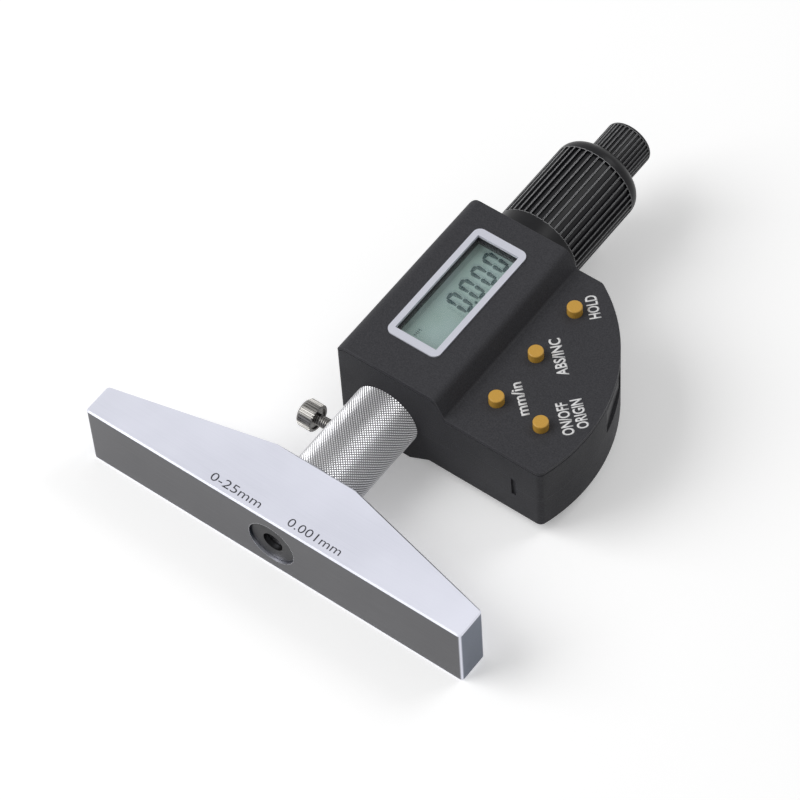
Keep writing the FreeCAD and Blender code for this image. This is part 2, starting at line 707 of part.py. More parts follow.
def display_panel():
    return display_column(DISPLAY_BORDER, DISPLAY_BOTTOM, DISPLAY_TOP)


def display_frame():
    frame = display_column(DISPLAY_BORDER + FRAME_WALL, DISPLAY_BOARD_TOP, SHELL_UNDERSIDE)
    pocket = display_column(DISPLAY_BORDER + SEAT_GAP, DISPLAY_BOTTOM, DISPLAY_TOP)
    opening = display_column(0, DISPLAY_BOARD_TOP - PAST, SHELL_UNDERSIDE + PAST)
    return frame.cut(pocket).cut(opening)


def display_board():
    margin = DISPLAY_BORDER + FRAME_WALL
    return display_column(margin, DISPLAY_BOARD_TOP - BOARD_THICKNESS, DISPLAY_BOARD_TOP)


# ---- buttons and switches ------------------------------------------------------------------------
BUTTON_TOP = LOBE_TOP + BUTTON_PROUD
LOBE_UNDERSIDE = LOBE_TOP - COVER_THICKNESS - TOP_WALL
SWITCH_TOP = BOARD_TOP + SWITCH_HEIGHT
BUTTON_FOOT = SWITCH_TOP + SWITCH_PLUNGER_HEIGHT + BUTTON_TRAVEL + RUNNING_CLEARANCE


def button(x, y):
    flange_top = LOBE_UNDERSIDE - RUNNING_CLEARANCE
    cap = rod_z(BUTTON_RADIUS, flange_top, BUTTON_TOP, x, y)
    rim = [edge for edge in cap.Edges if abs(edge.BoundBox.ZMin - BUTTON_TOP) < NEAR]
    cap = cap.makeFillet(BUTTON_EDGE, rim)
    flange = rod_z(BUTTON_RADIUS + BUTTON_FLANGE, flange_top - FLANGE_THICKNESS, flange_top, x, y)
    stem = rod_z(BUTTON_STEM_RADIUS, BUTTON_FOOT, flange_top, x, y)
    return cap.fuse(flange).fuse(stem).removeSplitter()


def button_switches():
    switches = []
    for x, y in BUTTONS.values():
        body = block(centred(x, SWITCH_SIZE), centred(y, SWITCH_SIZE), (BOARD_TOP, SWITCH_TOP))
        plunger = rod_z(
            SWITCH_PLUNGER_RADIUS, SWITCH_TOP, SWITCH_TOP + SWITCH_PLUNGER_HEIGHT, x, y
        )
        switches.append(body.fuse(plunger))
    return Part.makeCompound(switches)


def main_board():
    column = plan_column(WALL + LOOSE_CLEARANCE, BOARD_BOTTOM, BOARD_TOP)
    board = column.common(block((BOARD_LEFT, BASE_LENGTH), (0, BOARD_REAR), (LOW, HIGH)))
    for x, y in SCREW_PLACES:
        board = board.cut(rod_z(BOSS_RADIUS + LOOSE_CLEARANCE, LOW, HIGH, x, y))
    return board


# ---- battery -------------------------------------------------------------------------------------
BATTERY_COVER_TOP = -LOBE_BOTTOM + COVER_THICKNESS + TOP_WALL
BATTERY_BOTTOM = BATTERY_COVER_TOP + LOOSE_CLEARANCE
BATTERY_TOP = BATTERY_BOTTOM + BATTERY_THICKNESS


def lugs(extra, turn, low, high):
    """Two opposite bayonet lugs, widened by extra and turned about the battery's axis."""
    disc = rod_z(BATTERY_COVER_RADIUS + LUG_REACH + extra, low, high, BATTERY_X, BATTERY_Y)
    half = math.radians(LUG_ANGLE / 2) + extra / BATTERY_COVER_RADIUS
    reach = 2 * BATTERY_COVER_RADIUS
    centre = FreeCAD.Vector(BATTERY_X, BATTERY_Y, low)
    sectors = []
    for side in (0, math.pi):
        middle = math.radians(turn) + side
        rays = [
            centre + FreeCAD.Vector(math.cos(angle), math.sin(angle), 0) * reach
            for angle in (middle - half, middle + half)
        ]
        face = Part.Face(Part.makePolygon([centre, *rays, centre]))
        sectors.append(face.extrude(ALONG_Z * (high - low)))
    return disc.common(sectors[0].fuse(sectors[1]))


def battery_opening():
    radius = BATTERY_COVER_RADIUS + RUNNING_CLEARANCE
    hole = rod_z(radius, LOW, BATTERY_COVER_TOP + PAST, BATTERY_X, BATTERY_Y)
    return hole.fuse(lugs(SEAT_GAP, 90, LOW, BATTERY_COVER_TOP + PAST))


def battery_cover():
    disc = rod_z(BATTERY_COVER_RADIUS, -LOBE_BOTTOM, BATTERY_COVER_TOP, BATTERY_X, BATTERY_Y)
    lug_bottom = BATTERY_COVER_TOP + RUNNING_CLEARANCE
    rim = rod_z(
        BATTERY_COVER_RADIUS, -LOBE_BOTTOM, lug_bottom + LUG_THICKNESS, BATTERY_X, BATTERY_Y
    )
    well = rod_z(
        BATTERY_RADIUS + LOOSE_CLEARANCE,
        BATTERY_COVER_TOP,
        lug_bottom + LUG_THICKNESS + PAST,
        BATTERY_X,
        BATTERY_Y,
    )
    ring = rim.cut(well)
    coin_slot = block(
        centred(BATTERY_X, COIN_SLOT_LENGTH),
        centred(BATTERY_Y, COIN_SLOT_WIDTH),
        (-LOBE_BOTTOM - PAST, -LOBE_BOTTOM + COIN_SLOT_DEPTH),
    )
    lug_pair = lugs(0, 0, lug_bottom, lug_bottom + LUG_THICKNESS).cut(well)
    return disc.fuse(ring).fuse(lug_pair).cut(coin_slot).removeSplitter()


def battery():
    return rod_z(BATTERY_RADIUS, BATTERY_BOTTOM, BATTERY_TOP, BATTERY_X, BATTERY_Y)


def battery_contacts():
    """The contact pad that stands on the battery and carries the board."""
    return rod_z(CONTACT_PAD_RADIUS, BATTERY_TOP, BOARD_BOTTOM, BATTERY_X, BATTERY_Y)


# ---- data port -----------------------------------------------------------------------------------
PORT_ANGLE = math.degrees(math.asin((PORT_Y - LOBE_CENTRE_Y) / LOBE_RADIUS))
PORT_CHORD = math.sqrt(LOBE_RADIUS**2 - (PORT_LENGTH / 2) ** 2)
PORT_FACE = PORT_CHORD - PORT_RECESS


def on_port(solid):
    """Turns a solid made about the lobe's centre, facing +X, to face out of the data port."""
    solid.rotate(FreeCAD.Vector(0, 0, 0), ALONG_Z, PORT_ANGLE)
    solid.translate(FreeCAD.Vector(LOBE_CENTRE_X, LOBE_CENTRE_Y, PORT_CENTRE_Z))
    return solid


def port_opening():
    inner = PORT_FACE - PORT_PLATE
    plate_space = block(
        (inner, LOBE_RADIUS + PAST), centred(0, PORT_LENGTH), centred(0, PORT_HEIGHT)
    )
    plug_space = block(
        (inner - WALL - PAST, inner + PAST),
        centred(0, PORT_PLUG_LENGTH + 2 * BUTTON_CLEARANCE),
        centred(0, PORT_PLUG_HEIGHT + 2 * BUTTON_CLEARANCE),
    )
    return on_port(plate_space.fuse(plug_space))


def data_port_cover():
    inner = PORT_FACE - PORT_PLATE
    plate = block(
        (inner, PORT_FACE),
        centred(0, PORT_LENGTH - 2 * BUTTON_CLEARANCE),
        centred(0, PORT_HEIGHT - 2 * BUTTON_CLEARANCE),
    )
    plug = block(
        (inner - PORT_PLUG_DEPTH, inner), centred(0, PORT_PLUG_LENGTH), centred(0, PORT_PLUG_HEIGHT)
    )
    return on_port(plate.fuse(plug))


def data_socket():
    face = PORT_FACE - PORT_PLATE - PORT_PLUG_DEPTH - LOOSE_CLEARANCE
    body = block(
        (face - SOCKET_DEPTH, face),
        centred(0, PORT_PLUG_LENGTH),
        (BOARD_TOP - PORT_CENTRE_Z, PORT_PLUG_HEIGHT / 2),
    )
    for i in range(CONTACT_COUNT):
        middle = (i - (CONTACT_COUNT - 1) / 2) * CONTACT_PITCH
        groove = block(
            (face - CONTACT_WIDTH, face + PAST),
            centred(middle, CONTACT_WIDTH),
            centred(0, PORT_PLUG_HEIGHT - 2 * CONTACT_WIDTH),
        )
        body = body.cut(groove)
    return on_port(body)


# ---- chassis and encoder -------------------------------------------------------------------------
CHASSIS_FRONT_START = CAVITY_FRONT
BEARING_END = BEARING_Y + BEARING_PLATE
ROTOR_START = BEARING_END + RUNNING_CLEARANCE
ROTOR_END = ROTOR_START + ROTOR_THICKNESS


def chassis_slab(y_range, z_range):
    """A slab that fills the block's cavity between two heights, seated against the shells."""
    seat = inset_corners(housing_section(), COVER_THICKNESS + TOP_WALL + SEAT_GAP)
    return section_prism(seat).common(block((-BLOCK_LEFT, CHASSIS_RIGHT), y_range, z_range))


def chassis():
    """Three upright plates on a floor: they carry the sleeve's stem, the encoder and the barrel."""
    rear_end = CHASSIS_REAR_START + CHASSIS_REAR_PLATE
    height = (LOW, CHASSIS_TOP)
    front = chassis_slab((CHASSIS_FRONT_START, CHASSIS_FRONT_START + CHASSIS_FRONT_PLATE), height)
    bearing = chassis_slab((BEARING_Y, BEARING_END), height)
    rear = chassis_slab((CHASSIS_REAR_START, rear_end), height)
    floor = chassis_slab((CHASSIS_FRONT_START, rear_end), (LOW, -CHASSIS_WEB_TOP))
    frame = floor.fuse(front).fuse(bearing).fuse(rear)
    frame = frame.cut(rod_y(STEM_RADIUS, HOUSING_FRONT, HOUSING_FRONT + STEM_LENGTH))
    frame = frame.cut(rod_y(ROD_RADIUS + LOOSE_CLEARANCE, HOUSING_FRONT, BEARING_Y - PAST))
    frame = frame.cut(rod_y(ROTOR_HUB_RADIUS + RUNNING_CLEARANCE, BEARING_Y - PAST, BEARING_END + PAST))
    frame = frame.cut(rod_y(BARREL_NECK_RADIUS, CHASSIS_REAR_START - PAST, HOUSING_REAR))
    return frame.removeSplitter()


def keyway(start, end, width, depth):
    """A block over the rod's top that cuts or fills a keyway."""
    return block(
        centred(0, width), (start, end), (ROD_RADIUS - depth, ROD_RADIUS + LOOSE_CLEARANCE)
    )


def encoder_rotor():
    flange_start = BEARING_Y - RUNNING_CLEARANCE - ROTOR_FLANGE
    hub = rod_y(ROTOR_HUB_RADIUS, BEARING_Y - RUNNING_CLEARANCE, ROTOR_END + STATOR_GAP / 2)
    flange = rod_y(ROTOR_HUB_RADIUS + ROTOR_FLANGE, flange_start, BEARING_Y - RUNNING_CLEARANCE)
    disc = rod_y(ROTOR_RADIUS, ROTOR_START, ROTOR_END)
    bore = rod_y(ROD_RADIUS + RUNNING_CLEARANCE, flange_start - PAST, ROTOR_END + PAST)
    key = keyway(
        ROTOR_START,
        ROTOR_END,
        KEY_WIDTH - 2 * RUNNING_CLEARANCE,
        KEY_DEPTH - RUNNING_CLEARANCE,
    )
    return hub.fuse(flange).fuse(disc).cut(bore).fuse(key).removeSplitter()


def encoder_stator():
    start = ROTOR_END + STATOR_GAP
    disc = rod_y(ROTOR_RADIUS, start, start + STATOR_THICKNESS)
    tab = chassis_slab((start, start + STATOR_THICKNESS), (-CHASSIS_WEB_TOP, 0)).common(
        block(centred(0, ROTOR_RADIUS), (0, KNOB_END), (LOW, 0))
    )
    hole = rod_y(ROTOR_HUB_RADIUS, start - PAST, start + STATOR_THICKNESS + PAST)
    return disc.fuse(tab).cut(hole).removeSplitter()


# ---- rod, spindle, nut and barrel ----------------------------------------------------------------
KEYWAY_START = ROTOR_START - KEYWAY_MARGIN
KEYWAY_END = ROTOR_END + TRAVEL + KEYWAY_MARGIN / 2


def keyed(solid):
    """The solid with the long keyway that drives the encoder."""
    cutter = keyway(KEYWAY_START, min(KEYWAY_END, SPINDLE_START), KEY_WIDTH, KEY_DEPTH)
    return solid.cut(cutter)


def measuring_rod():
    return lathed(
        (
            (0, ROD_SETBACK),
            (ROD_RADIUS - ROD_EDGE, ROD_SETBACK),
            (ROD_RADIUS, ROD_SETBACK + ROD_EDGE),
            (ROD_RADIUS, ROD_END),
            (SPINDLE_TANG_RADIUS, ROD_END),
            (SPINDLE_TANG_RADIUS, ROD_END + SPINDLE_TANG_LENGTH),
            (0, ROD_END + SPINDLE_TANG_LENGTH),
        )
    )


def spindle():
    stem = rod_y(ROD_RADIUS, ROD_END, SPINDLE_START)
    thread = rod_y(SPINDLE_RADIUS, SPINDLE_START, SPINDLE_END)
    tang_hole = rod_y(SPINDLE_TANG_RADIUS, ROD_END - PAST, ROD_END + SPINDLE_TANG_LENGTH)
    socket_width = SHAFT_WIDTH + 2 * SHAFT_CLEARANCE
    socket = block(
        centred(0, socket_width),
        (SHAFT_TIP - LOOSE_CLEARANCE, SPINDLE_END + PAST),
        centred(0, socket_width),
    )
    return keyed(stem.fuse(thread)).cut(tang_hole).cut(socket).removeSplitter()


def spindle_nut():
    outer = rod_y(NUT_RADIUS, NUT_START, NUT_END)
    bore = rod_y(SPINDLE_RADIUS + RUNNING_CLEARANCE, NUT_START - PAST, NUT_END + PAST)
    return outer.cut(bore)


def barrel():
    outer = lathed(
        (
            (0, CHASSIS_REAR_START),
            (BARREL_NECK_RADIUS, CHASSIS_REAR_START),
            (BARREL_NECK_RADIUS, HOUSING_REAR),
            (BARREL_RADIUS, HOUSING_REAR),
            (BARREL_RADIUS, RING_START - RUNNING_CLEARANCE),
            (BARREL_RADIUS - RING_INNER_DEPTH - RUNNING_CLEARANCE, RING_START - RUNNING_CLEARANCE),
            (BARREL_RADIUS - RING_INNER_DEPTH - RUNNING_CLEARANCE, RING_END + RUNNING_CLEARANCE),
            (BARREL_RADIUS, RING_END + RUNNING_CLEARANCE),
            (BARREL_RADIUS, BARREL_END),
            (0, BARREL_END),
        )
    )
    front_bore = rod_y(SPINDLE_RADIUS + LOOSE_CLEARANCE, CHASSIS_REAR_START - PAST, NUT_START)
    nut_seat = rod_y(NUT_RADIUS, NUT_START, NUT_END)
    rear_bore = rod_y(BARREL_BORE_RADIUS, NUT_START, BARREL_END + PAST)
    return outer.cut(front_bore).cut(nut_seat).cut(rear_bore)


# ---- thimble -------------------------------------------------------------------------------------
RING_START = THIMBLE_START + RING_SETBACK
RING_END = RING_START + RING_THICKNESS
THIMBLE_BORE = BARREL_RADIUS + RUNNING_CLEARANCE
THIMBLE_INNER_END = THIMBLE_END - THIMBLE_END_WALL
SHAFT_TIP = SPINDLE_END - TRAVEL - SHAFT_ENGAGEMENT


def thimble():
    """Smooth band, straight ribs and a rounded shoulder, hollow from the front."""
    round_start = THIMBLE_END - THIMBLE_SHOULDER_ROUND
    inner_edge = THIMBLE_RADIUS - THIMBLE_SHOULDER_ROUND
    diagonal = THIMBLE_SHOULDER_ROUND * math.sqrt(0.5)
    place = FreeCAD.Vector
    shoulder_arc = Part.Arc(
        place(THIMBLE_RADIUS, round_start, 0),
        place(inner_edge + diagonal, round_start + diagonal, 0),
        place(inner_edge, THIMBLE_END, 0),
    )
    wire = Part.Wire(
        [
            Part.LineSegment(place(0, THIMBLE_START, 0), place(THIMBLE_RADIUS, THIMBLE_START, 0)).toShape(),
            Part.LineSegment(
                place(THIMBLE_RADIUS, THIMBLE_START, 0), place(THIMBLE_RADIUS, round_start, 0)
            ).toShape(),
            shoulder_arc.toShape(),
            Part.LineSegment(place(inner_edge, THIMBLE_END, 0), place(0, THIMBLE_END, 0)).toShape(),
            Part.LineSegment(place(0, THIMBLE_END, 0), place(0, THIMBLE_START, 0)).toShape(),
        ]
    )
    body = Part.Face(wire).revolve(place(0, 0, 0), ALONG_Y, 360)
    outline = ribbed_ring(THIMBLE_RADIUS, THIMBLE_RIB_DEPTH, THIMBLE_RIB_CREST, THIMBLE_RIB_COUNT)
    clear_ring = rod_y(THIMBLE_RADIUS + PAST, RIB_START, RIB_END)
    body = body.cut(clear_ring.cut(ribs_between(outline, RIB_START, RIB_END)))
    body = body.cut(rod_y(THIMBLE_BORE, THIMBLE_START - PAST, THIMBLE_INNER_END))
    body = body.cut(rod_y(THIMBLE_BORE + RING_OUTER_DEPTH, RING_START, RING_END))
    shaft_hole = block(
        centred(0, SHAFT_WIDTH), (THIMBLE_INNER_END - PAST, SHAFT_ROOT), centred(0, SHAFT_WIDTH)
    )
    screw_hole = rod_y(RATCHET_SCREW_RADIUS, SHAFT_ROOT, THIMBLE_END + PAST)
    return body.cut(shaft_hole).cut(screw_hole)


def retaining_ring():
    inner = BARREL_RADIUS - RING_INNER_DEPTH
    outer = THIMBLE_BORE + RING_OUTER_DEPTH
    ring = rod_y(outer, RING_START, RING_END).cut(rod_y(inner, RING_START - PAST, RING_END + PAST))
    gap = block((0, THIMBLE_RADIUS), (RING_START - PAST, RING_END + PAST), centred(0, RING_THICKNESS))
    return ring.cut(gap)


SHAFT_ROOT = THIMBLE_INNER_END + THIMBLE_END_WALL / 2


def drive_shaft():
    return block(centred(0, SHAFT_WIDTH), (SHAFT_TIP, SHAFT_ROOT), centred(0, SHAFT_WIDTH))


# ---- ratchet -------------------------------------------------------------------------------------
WHEEL_START = THIMBLE_END
WHEEL_END = WHEEL_START + RATCHET_WHEEL_THICKNESS
PLATE_START = WHEEL_END + RATCHET_TOOTH + RUNNING_CLEARANCE
PLATE_END = PLATE_START + CLICK_PLATE_THICKNESS
KNOB_INNER_END = KNOB_END - KNOB_END_WALL
SCREW_HEAD_START = KNOB_END - RATCHET_SCREW_HEAD_HEIGHT
KNOB_BORE = KNOB_RADIUS - KNOB_RIB_DEPTH - KNOB_WALL


def ratchet_knob():
    body = lathed(
        (
            (0, KNOB_START),
            (KNOB_RADIUS, KNOB_START),
            (KNOB_RADIUS, KNOB_END),
            (0, KNOB_END),
        )
    )
    rim = [
        edge
        for edge in body.Edges
        if abs(edge.BoundBox.YMin - KNOB_END) < NEAR and edge.BoundBox.YLength < NEAR
    ]
    body = body.makeFillet(KNOB_EDGE, rim[:1])
    outline = ribbed_ring(KNOB_RADIUS, KNOB_RIB_DEPTH, KNOB_RIB_CREST, KNOB_RIB_COUNT)
    start = KNOB_START + KNOB_RIB_MARGIN
    end = KNOB_END - KNOB_RIB_MARGIN
    grooves = rod_y(KNOB_RADIUS + PAST, start, end).cut(ribs_between(outline, start, end))
    body = body.cut(grooves).cut(rod_y(KNOB_BORE, KNOB_START - PAST, KNOB_INNER_END))
    body = body.cut(rod_y(RATCHET_SCREW_RADIUS + RUNNING_CLEARANCE, KNOB_START, KNOB_END + PAST))
    return body.cut(rod_y(RATCHET_SCREW_HEAD + RUNNING_CLEARANCE, SCREW_HEAD_START, KNOB_END + PAST))


def ratchet_wheel():
    """A plate with face teeth, fixed to the thimble's end."""
    wheel = rod_y(RATCHET_WHEEL_RADIUS - RUNNING_CLEARANCE, WHEEL_START, WHEEL_END)
    teeth_ring = rod_y(RATCHET_WHEEL_RADIUS - RUNNING_CLEARANCE, WHEEL_END, WHEEL_END + RATCHET_TOOTH)
    pitch = 360 / RATCHET_TEETH
    teeth = []
    for i in range(RATCHET_TEETH):
        tooth = Part.Face(
            Part.makePolygon(
                [
                    FreeCAD.Vector(0, WHEEL_END, -RATCHET_TOOTH),
                    FreeCAD.Vector(0, WHEEL_END, RATCHET_TOOTH),
                    FreeCAD.Vector(0, WHEEL_END + RATCHET_TOOTH, RATCHET_TOOTH),
                    FreeCAD.Vector(0, WHEEL_END, -RATCHET_TOOTH),
                ]
            )
        ).extrude(ALONG_X * RATCHET_WHEEL_RADIUS)
        tooth.rotate(FreeCAD.Vector(0, 0, 0), ALONG_Y, i * pitch)
        teeth.append(tooth)
    ring = teeth_ring.common(teeth[0].multiFuse(teeth[1:]))
    wheel = wheel.fuse(ring)
    return wheel.cut(rod_y(RATCHET_SCREW_RADIUS, WHEEL_START - PAST, WHEEL_END + PAST)).removeSplitter()


def click_plate():
    plate = rod_y(KNOB_BORE, PLATE_START, PLATE_END)
    return plate.cut(rod_y(RATCHET_SCREW_RADIUS + RUNNING_CLEARANCE, PLATE_START - PAST, PLATE_END + PAST))


def ratchet_spring():
    """Closed rings of wire, as many as the spring has turns, joined by one thick leg."""
    radius = (KNOB_BORE + RATCHET_SCREW_RADIUS) / 2
    space = KNOB_INNER_END - PLATE_END
    pitch = (space - SPRING_WIRE) / (SPRING_TURNS - 1)
    rings = []
    for i in range(SPRING_TURNS):
        middle = PLATE_END + SPRING_WIRE / 2 + i * pitch
        rings.append(
            Part.makeTorus(radius, SPRING_WIRE / 2, FreeCAD.Vector(0, middle, 0), ALONG_Y)
        )
    leg = rod_y(SPRING_LEG_RADIUS, PLATE_END, KNOB_INNER_END, radius)
    return leg.multiFuse(rings)


def ratchet_screw():
    shank = rod_y(RATCHET_SCREW_RADIUS, SHAFT_ROOT, SCREW_HEAD_START)
    head = rod_y(RATCHET_SCREW_HEAD, SCREW_HEAD_START, KNOB_END)
    slot = block(
        centred(0, 2 * RATCHET_SCREW_HEAD),
        (KNOB_END - RATCHET_SCREW_HEAD_HEIGHT / 2, KNOB_END + PAST),
        centred(0, SPRING_WIRE * 2),
    )
    return shank.fuse(head).cut(slot)


# ---- all nodes -----------------------------------------------------------------------------------
NODES = {
    "base_bar": base_bar,
    "guide_bush": guide_bush,
    "sleeve": sleeve,
    "lock_screw": lock_screw,
    "lock_pad": lock_pad,
    "top_cover": top_cover,
    "front_shell": front_shell,
    "back_shell": back_shell,
    "shell_screws": shell_screws,
    "display_bezel": display_bezel,
    "display_window": display_window,
    "display_panel": display_panel,
    "display_frame": display_frame,
    "display_board": display_board,
    "button_switches": button_switches,
    "main_board": main_board,
    "battery": battery,
    "battery_cover": battery_cover,
    "battery_contacts": battery_contacts,
    "data_port_cover": data_port_cover,
    "data_socket": data_socket,
    "chassis": chassis,
    "encoder_rotor": encoder_rotor,
    "encoder_stator": encoder_stator,
    "measuring_rod": measuring_rod,
    "spindle": spindle,
    "spindle_nut": spindle_nut,
    "barrel": barrel,
    "thimble": thimble,
    "retaining_ring": retaining_ring,
    "drive_shaft": drive_shaft,
    "ratchet_knob": ratchet_knob,
    "ratchet_wheel": ratchet_wheel,
    "click_plate": click_plate,
    "ratchet_spring": ratchet_spring,
    "ratchet_screw": ratchet_screw,
}


def main():
    os.makedirs("parts", exist_ok=True)
    shapes = {name: make() for name, make in NODES.items()}
    for name, (x, y) in BUTTONS.items():
        shapes[name] = button(x, y)
    for name, shape in shapes.items():
        shape.exportStep(f"parts/{name}.step")
        print(f"{name}: {len(shape.Solids)} solids, {shape.Volume:.1f} mm3, valid {shape.isValid()}")


main()
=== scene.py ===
"""Finishes, markings and knurling of a digital depth micrometer, with its studio and camera.

Places are in metres in the part's own frame: X along the base bar, Y from the measuring face
towards the ratchet, Z out of the display, with the origin in the middle of the measuring face.
"""

import math

import bmesh
import bpy
from mathutils import Matrix, Vector


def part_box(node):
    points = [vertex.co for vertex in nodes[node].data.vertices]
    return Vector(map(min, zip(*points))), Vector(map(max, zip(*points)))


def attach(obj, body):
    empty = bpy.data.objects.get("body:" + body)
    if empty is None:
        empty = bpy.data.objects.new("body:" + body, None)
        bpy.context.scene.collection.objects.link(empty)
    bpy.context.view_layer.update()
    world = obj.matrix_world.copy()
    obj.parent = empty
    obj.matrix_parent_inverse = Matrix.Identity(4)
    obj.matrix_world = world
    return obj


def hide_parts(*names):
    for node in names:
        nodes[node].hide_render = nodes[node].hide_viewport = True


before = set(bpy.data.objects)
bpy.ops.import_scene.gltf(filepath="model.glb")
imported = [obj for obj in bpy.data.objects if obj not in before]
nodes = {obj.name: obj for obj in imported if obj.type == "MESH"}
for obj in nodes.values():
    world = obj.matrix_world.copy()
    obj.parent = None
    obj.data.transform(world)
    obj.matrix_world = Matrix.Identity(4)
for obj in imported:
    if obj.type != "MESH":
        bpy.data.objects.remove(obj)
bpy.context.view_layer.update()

# ---- places taken from the frame -----------------------------------------------------------------
base_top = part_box("base_bar")[1].z
sleeve_low, sleeve_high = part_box("sleeve")
housing_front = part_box("front_shell")[0].y
lock_low, lock_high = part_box("lock_screw")
panel_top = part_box("display_panel")[1].z

# ---- sleeve and its knurl ------------------------------------------------------------------------
SLEEVE_RADIUS = 0.00815
SLEEVE_STEM_RADIUS = 0.006
SLEEVE_BORE_RADIUS = 0.00295
SLEEVE_EDGE = 0.0003
KNURL_COLUMNS = 136
KNURL_ROWS = 62
KNURL_DEPTH = 0.00021
SCREW_HOLE_RADIUS = 0.00132

# ---- lock screw's thread -------------------------------------------------------------------------
LOCK_SHANK_RADIUS = 0.00125
LOCK_THREAD_PITCH = 0.0005
LOCK_THREAD_DEPTH = 0.00016
LOCK_THREAD_START = -0.0113
LOCK_THREAD_END = -0.0084

# ---- markings ------------------------------------------------------------------------------------
LOBE_TOP = 0.0109
INK_THICKNESS = 0.00003
ENGRAVING_HEIGHT = 0.0021
LABEL_HEIGHT = 0.0027
LABEL_WEIGHT = 0.022
ENGRAVING_WEIGHT = -0.006

# ---- display's figures ---------------------------------------------------------------------------
FIGURE_HEIGHT = 0.0066
FIGURE_WIDTH = 0.0031
FIGURE_STROKE = 0.00092
FIGURE_PITCH = 0.00442
FIGURE_GAP = 0.00014
FIGURE_SLANT = 0.06
FIRST_FIGURE_Y = 0.0668
FIGURE_MIDDLE_X = 0.0013
LIT_BARS = ("top", "upper_left", "upper_right", "lower_left", "lower_right", "bottom")

# ---- ribs ----------------------------------------------------------------------------------------
THIMBLE_RADIUS = 0.0107
KNOB_RADIUS = 0.0059

# ---- camera and floor ----------------------------------------------------------------------------
CAMERA_PLACE = Vector((0.30704, -0.31662, 0.66658))
CAMERA_TARGET = Vector((0.0001, 0.0457, 0.0))
CAMERA_LENS = 169.27
FLOOR_UP = Vector((0.0, 0.0746, 0.9972))
FLOOR_HEIGHT = -0.00878
FLOOR_RADIUS = 0.9
FLOOR_LIFT = 0.26


# ---- shared surface effects ----------------------------------------------------------------------
def new_group(name, inputs, outputs):
    """An empty shader group with its sockets: (kind, label, value) going in and (kind, label) coming out."""
    group = bpy.data.node_groups.new(name, "ShaderNodeTree")
    for kind, label, value in inputs:
        socket = group.interface.new_socket(label, in_out="INPUT", socket_type=kind)
        socket.default_value = value
    for kind, label in outputs:
        group.interface.new_socket(label, in_out="OUTPUT", socket_type=kind)
    return group, group.nodes.new("NodeGroupInput"), group.nodes.new("NodeGroupOutput")


def add(tree, kind, **settings):
    """A new node with its settings."""
    node = tree.nodes.new(kind)
    for name, value in settings.items():
        setattr(node, name, value)
    return node


def sums(tree, operation, first, second=None, clamp=False):
    """The result of a Math node. Each term is a socket or a number."""
    node = add(tree, "ShaderNodeMath", operation=operation, use_clamp=clamp)
    for place, term in enumerate((first, second)):
        if term is None:
            continue
        if isinstance(term, (int, float)):
            node.inputs[place].default_value = term
        else:
            tree.links.new(term, node.inputs[place])
    return node.outputs[0]


def moulded_grain_group():
    """Fine spark-eroded texture of a moulded case, with slow changes of tone."""
    group, entry, end = new_group(
        "moulded_grain",
        [("NodeSocketFloat", "Grain Size", 0.0003), ("NodeSocketFloat", "Cloud Size", 0.012)],
        [("NodeSocketFloat", "Height"), ("NodeSocketFloat", "Cloud"), ("NodeSocketFloat", "Speckle")],
    )
    place = add(group, "ShaderNodeTexCoord")
    fine = add(group, "ShaderNodeTexNoise")
    fine.inputs["Detail"].default_value = 3.0
    fine.inputs["Roughness"].default_value = 0.6
    cloud = add(group, "ShaderNodeTexNoise")
    cloud.inputs["Detail"].default_value = 4.0
    cells = add(group, "ShaderNodeTexVoronoi")
    group.links.new(place.outputs["Object"], fine.inputs["Vector"])
    group.links.new(place.outputs["Object"], cloud.inputs["Vector"])
    group.links.new(place.outputs["Object"], cells.inputs["Vector"])
    group.links.new(sums(group, "DIVIDE", 1.0, entry.outputs["Grain Size"]), fine.inputs["Scale"])
    group.links.new(sums(group, "DIVIDE", 0.7, entry.outputs["Grain Size"]), cells.inputs["Scale"])
    group.links.new(sums(group, "DIVIDE", 1.0, entry.outputs["Cloud Size"]), cloud.inputs["Scale"])
    pits = sums(group, "MULTIPLY", cells.outputs["Distance"], 0.7)
    group.links.new(sums(group, "ADD", pits, fine.outputs["Fac"]), end.inputs["Height"])
    group.links.new(cloud.outputs["Fac"], end.inputs["Cloud"])
    group.links.new(fine.outputs["Fac"], end.inputs["Speckle"])
    return group


def grinding_group():
    """Fine scratches left by a grinding wheel, drawn out along one direction."""
    group, entry, end = new_group(
        "grinding_lines",
        [("NodeSocketVector", "Stretch", (60.0, 4000.0, 4000.0)), ("NodeSocketFloat", "Cloud Size", 0.02)],
        [("NodeSocketFloat", "Height"), ("NodeSocketFloat", "Streak"), ("NodeSocketFloat", "Cloud")],
    )
    place = add(group, "ShaderNodeTexCoord")
    drawn = add(group, "ShaderNodeVectorMath", operation="MULTIPLY")
    group.links.new(place.outputs["Object"], drawn.inputs[0])
    group.links.new(entry.outputs["Stretch"], drawn.inputs[1])
    fine = add(group, "ShaderNodeTexNoise")
    fine.inputs["Scale"].default_value = 1.0
    fine.inputs["Detail"].default_value = 3.0
    group.links.new(drawn.outputs[0], fine.inputs["Vector"])
    cloud = add(group, "ShaderNodeTexNoise")
    cloud.inputs["Detail"].default_value = 3.0
    group.links.new(place.outputs["Object"], cloud.inputs["Vector"])
    group.links.new(sums(group, "DIVIDE", 1.0, entry.outputs["Cloud Size"]), cloud.inputs["Scale"])
    group.links.new(fine.outputs["Fac"], end.inputs["Height"])
    group.links.new(sums(group, "SMOOTH_MIN", fine.outputs["Fac"], 0.6), end.inputs["Streak"])
    group.links.new(cloud.outputs["Fac"], end.inputs["Cloud"])
    return group


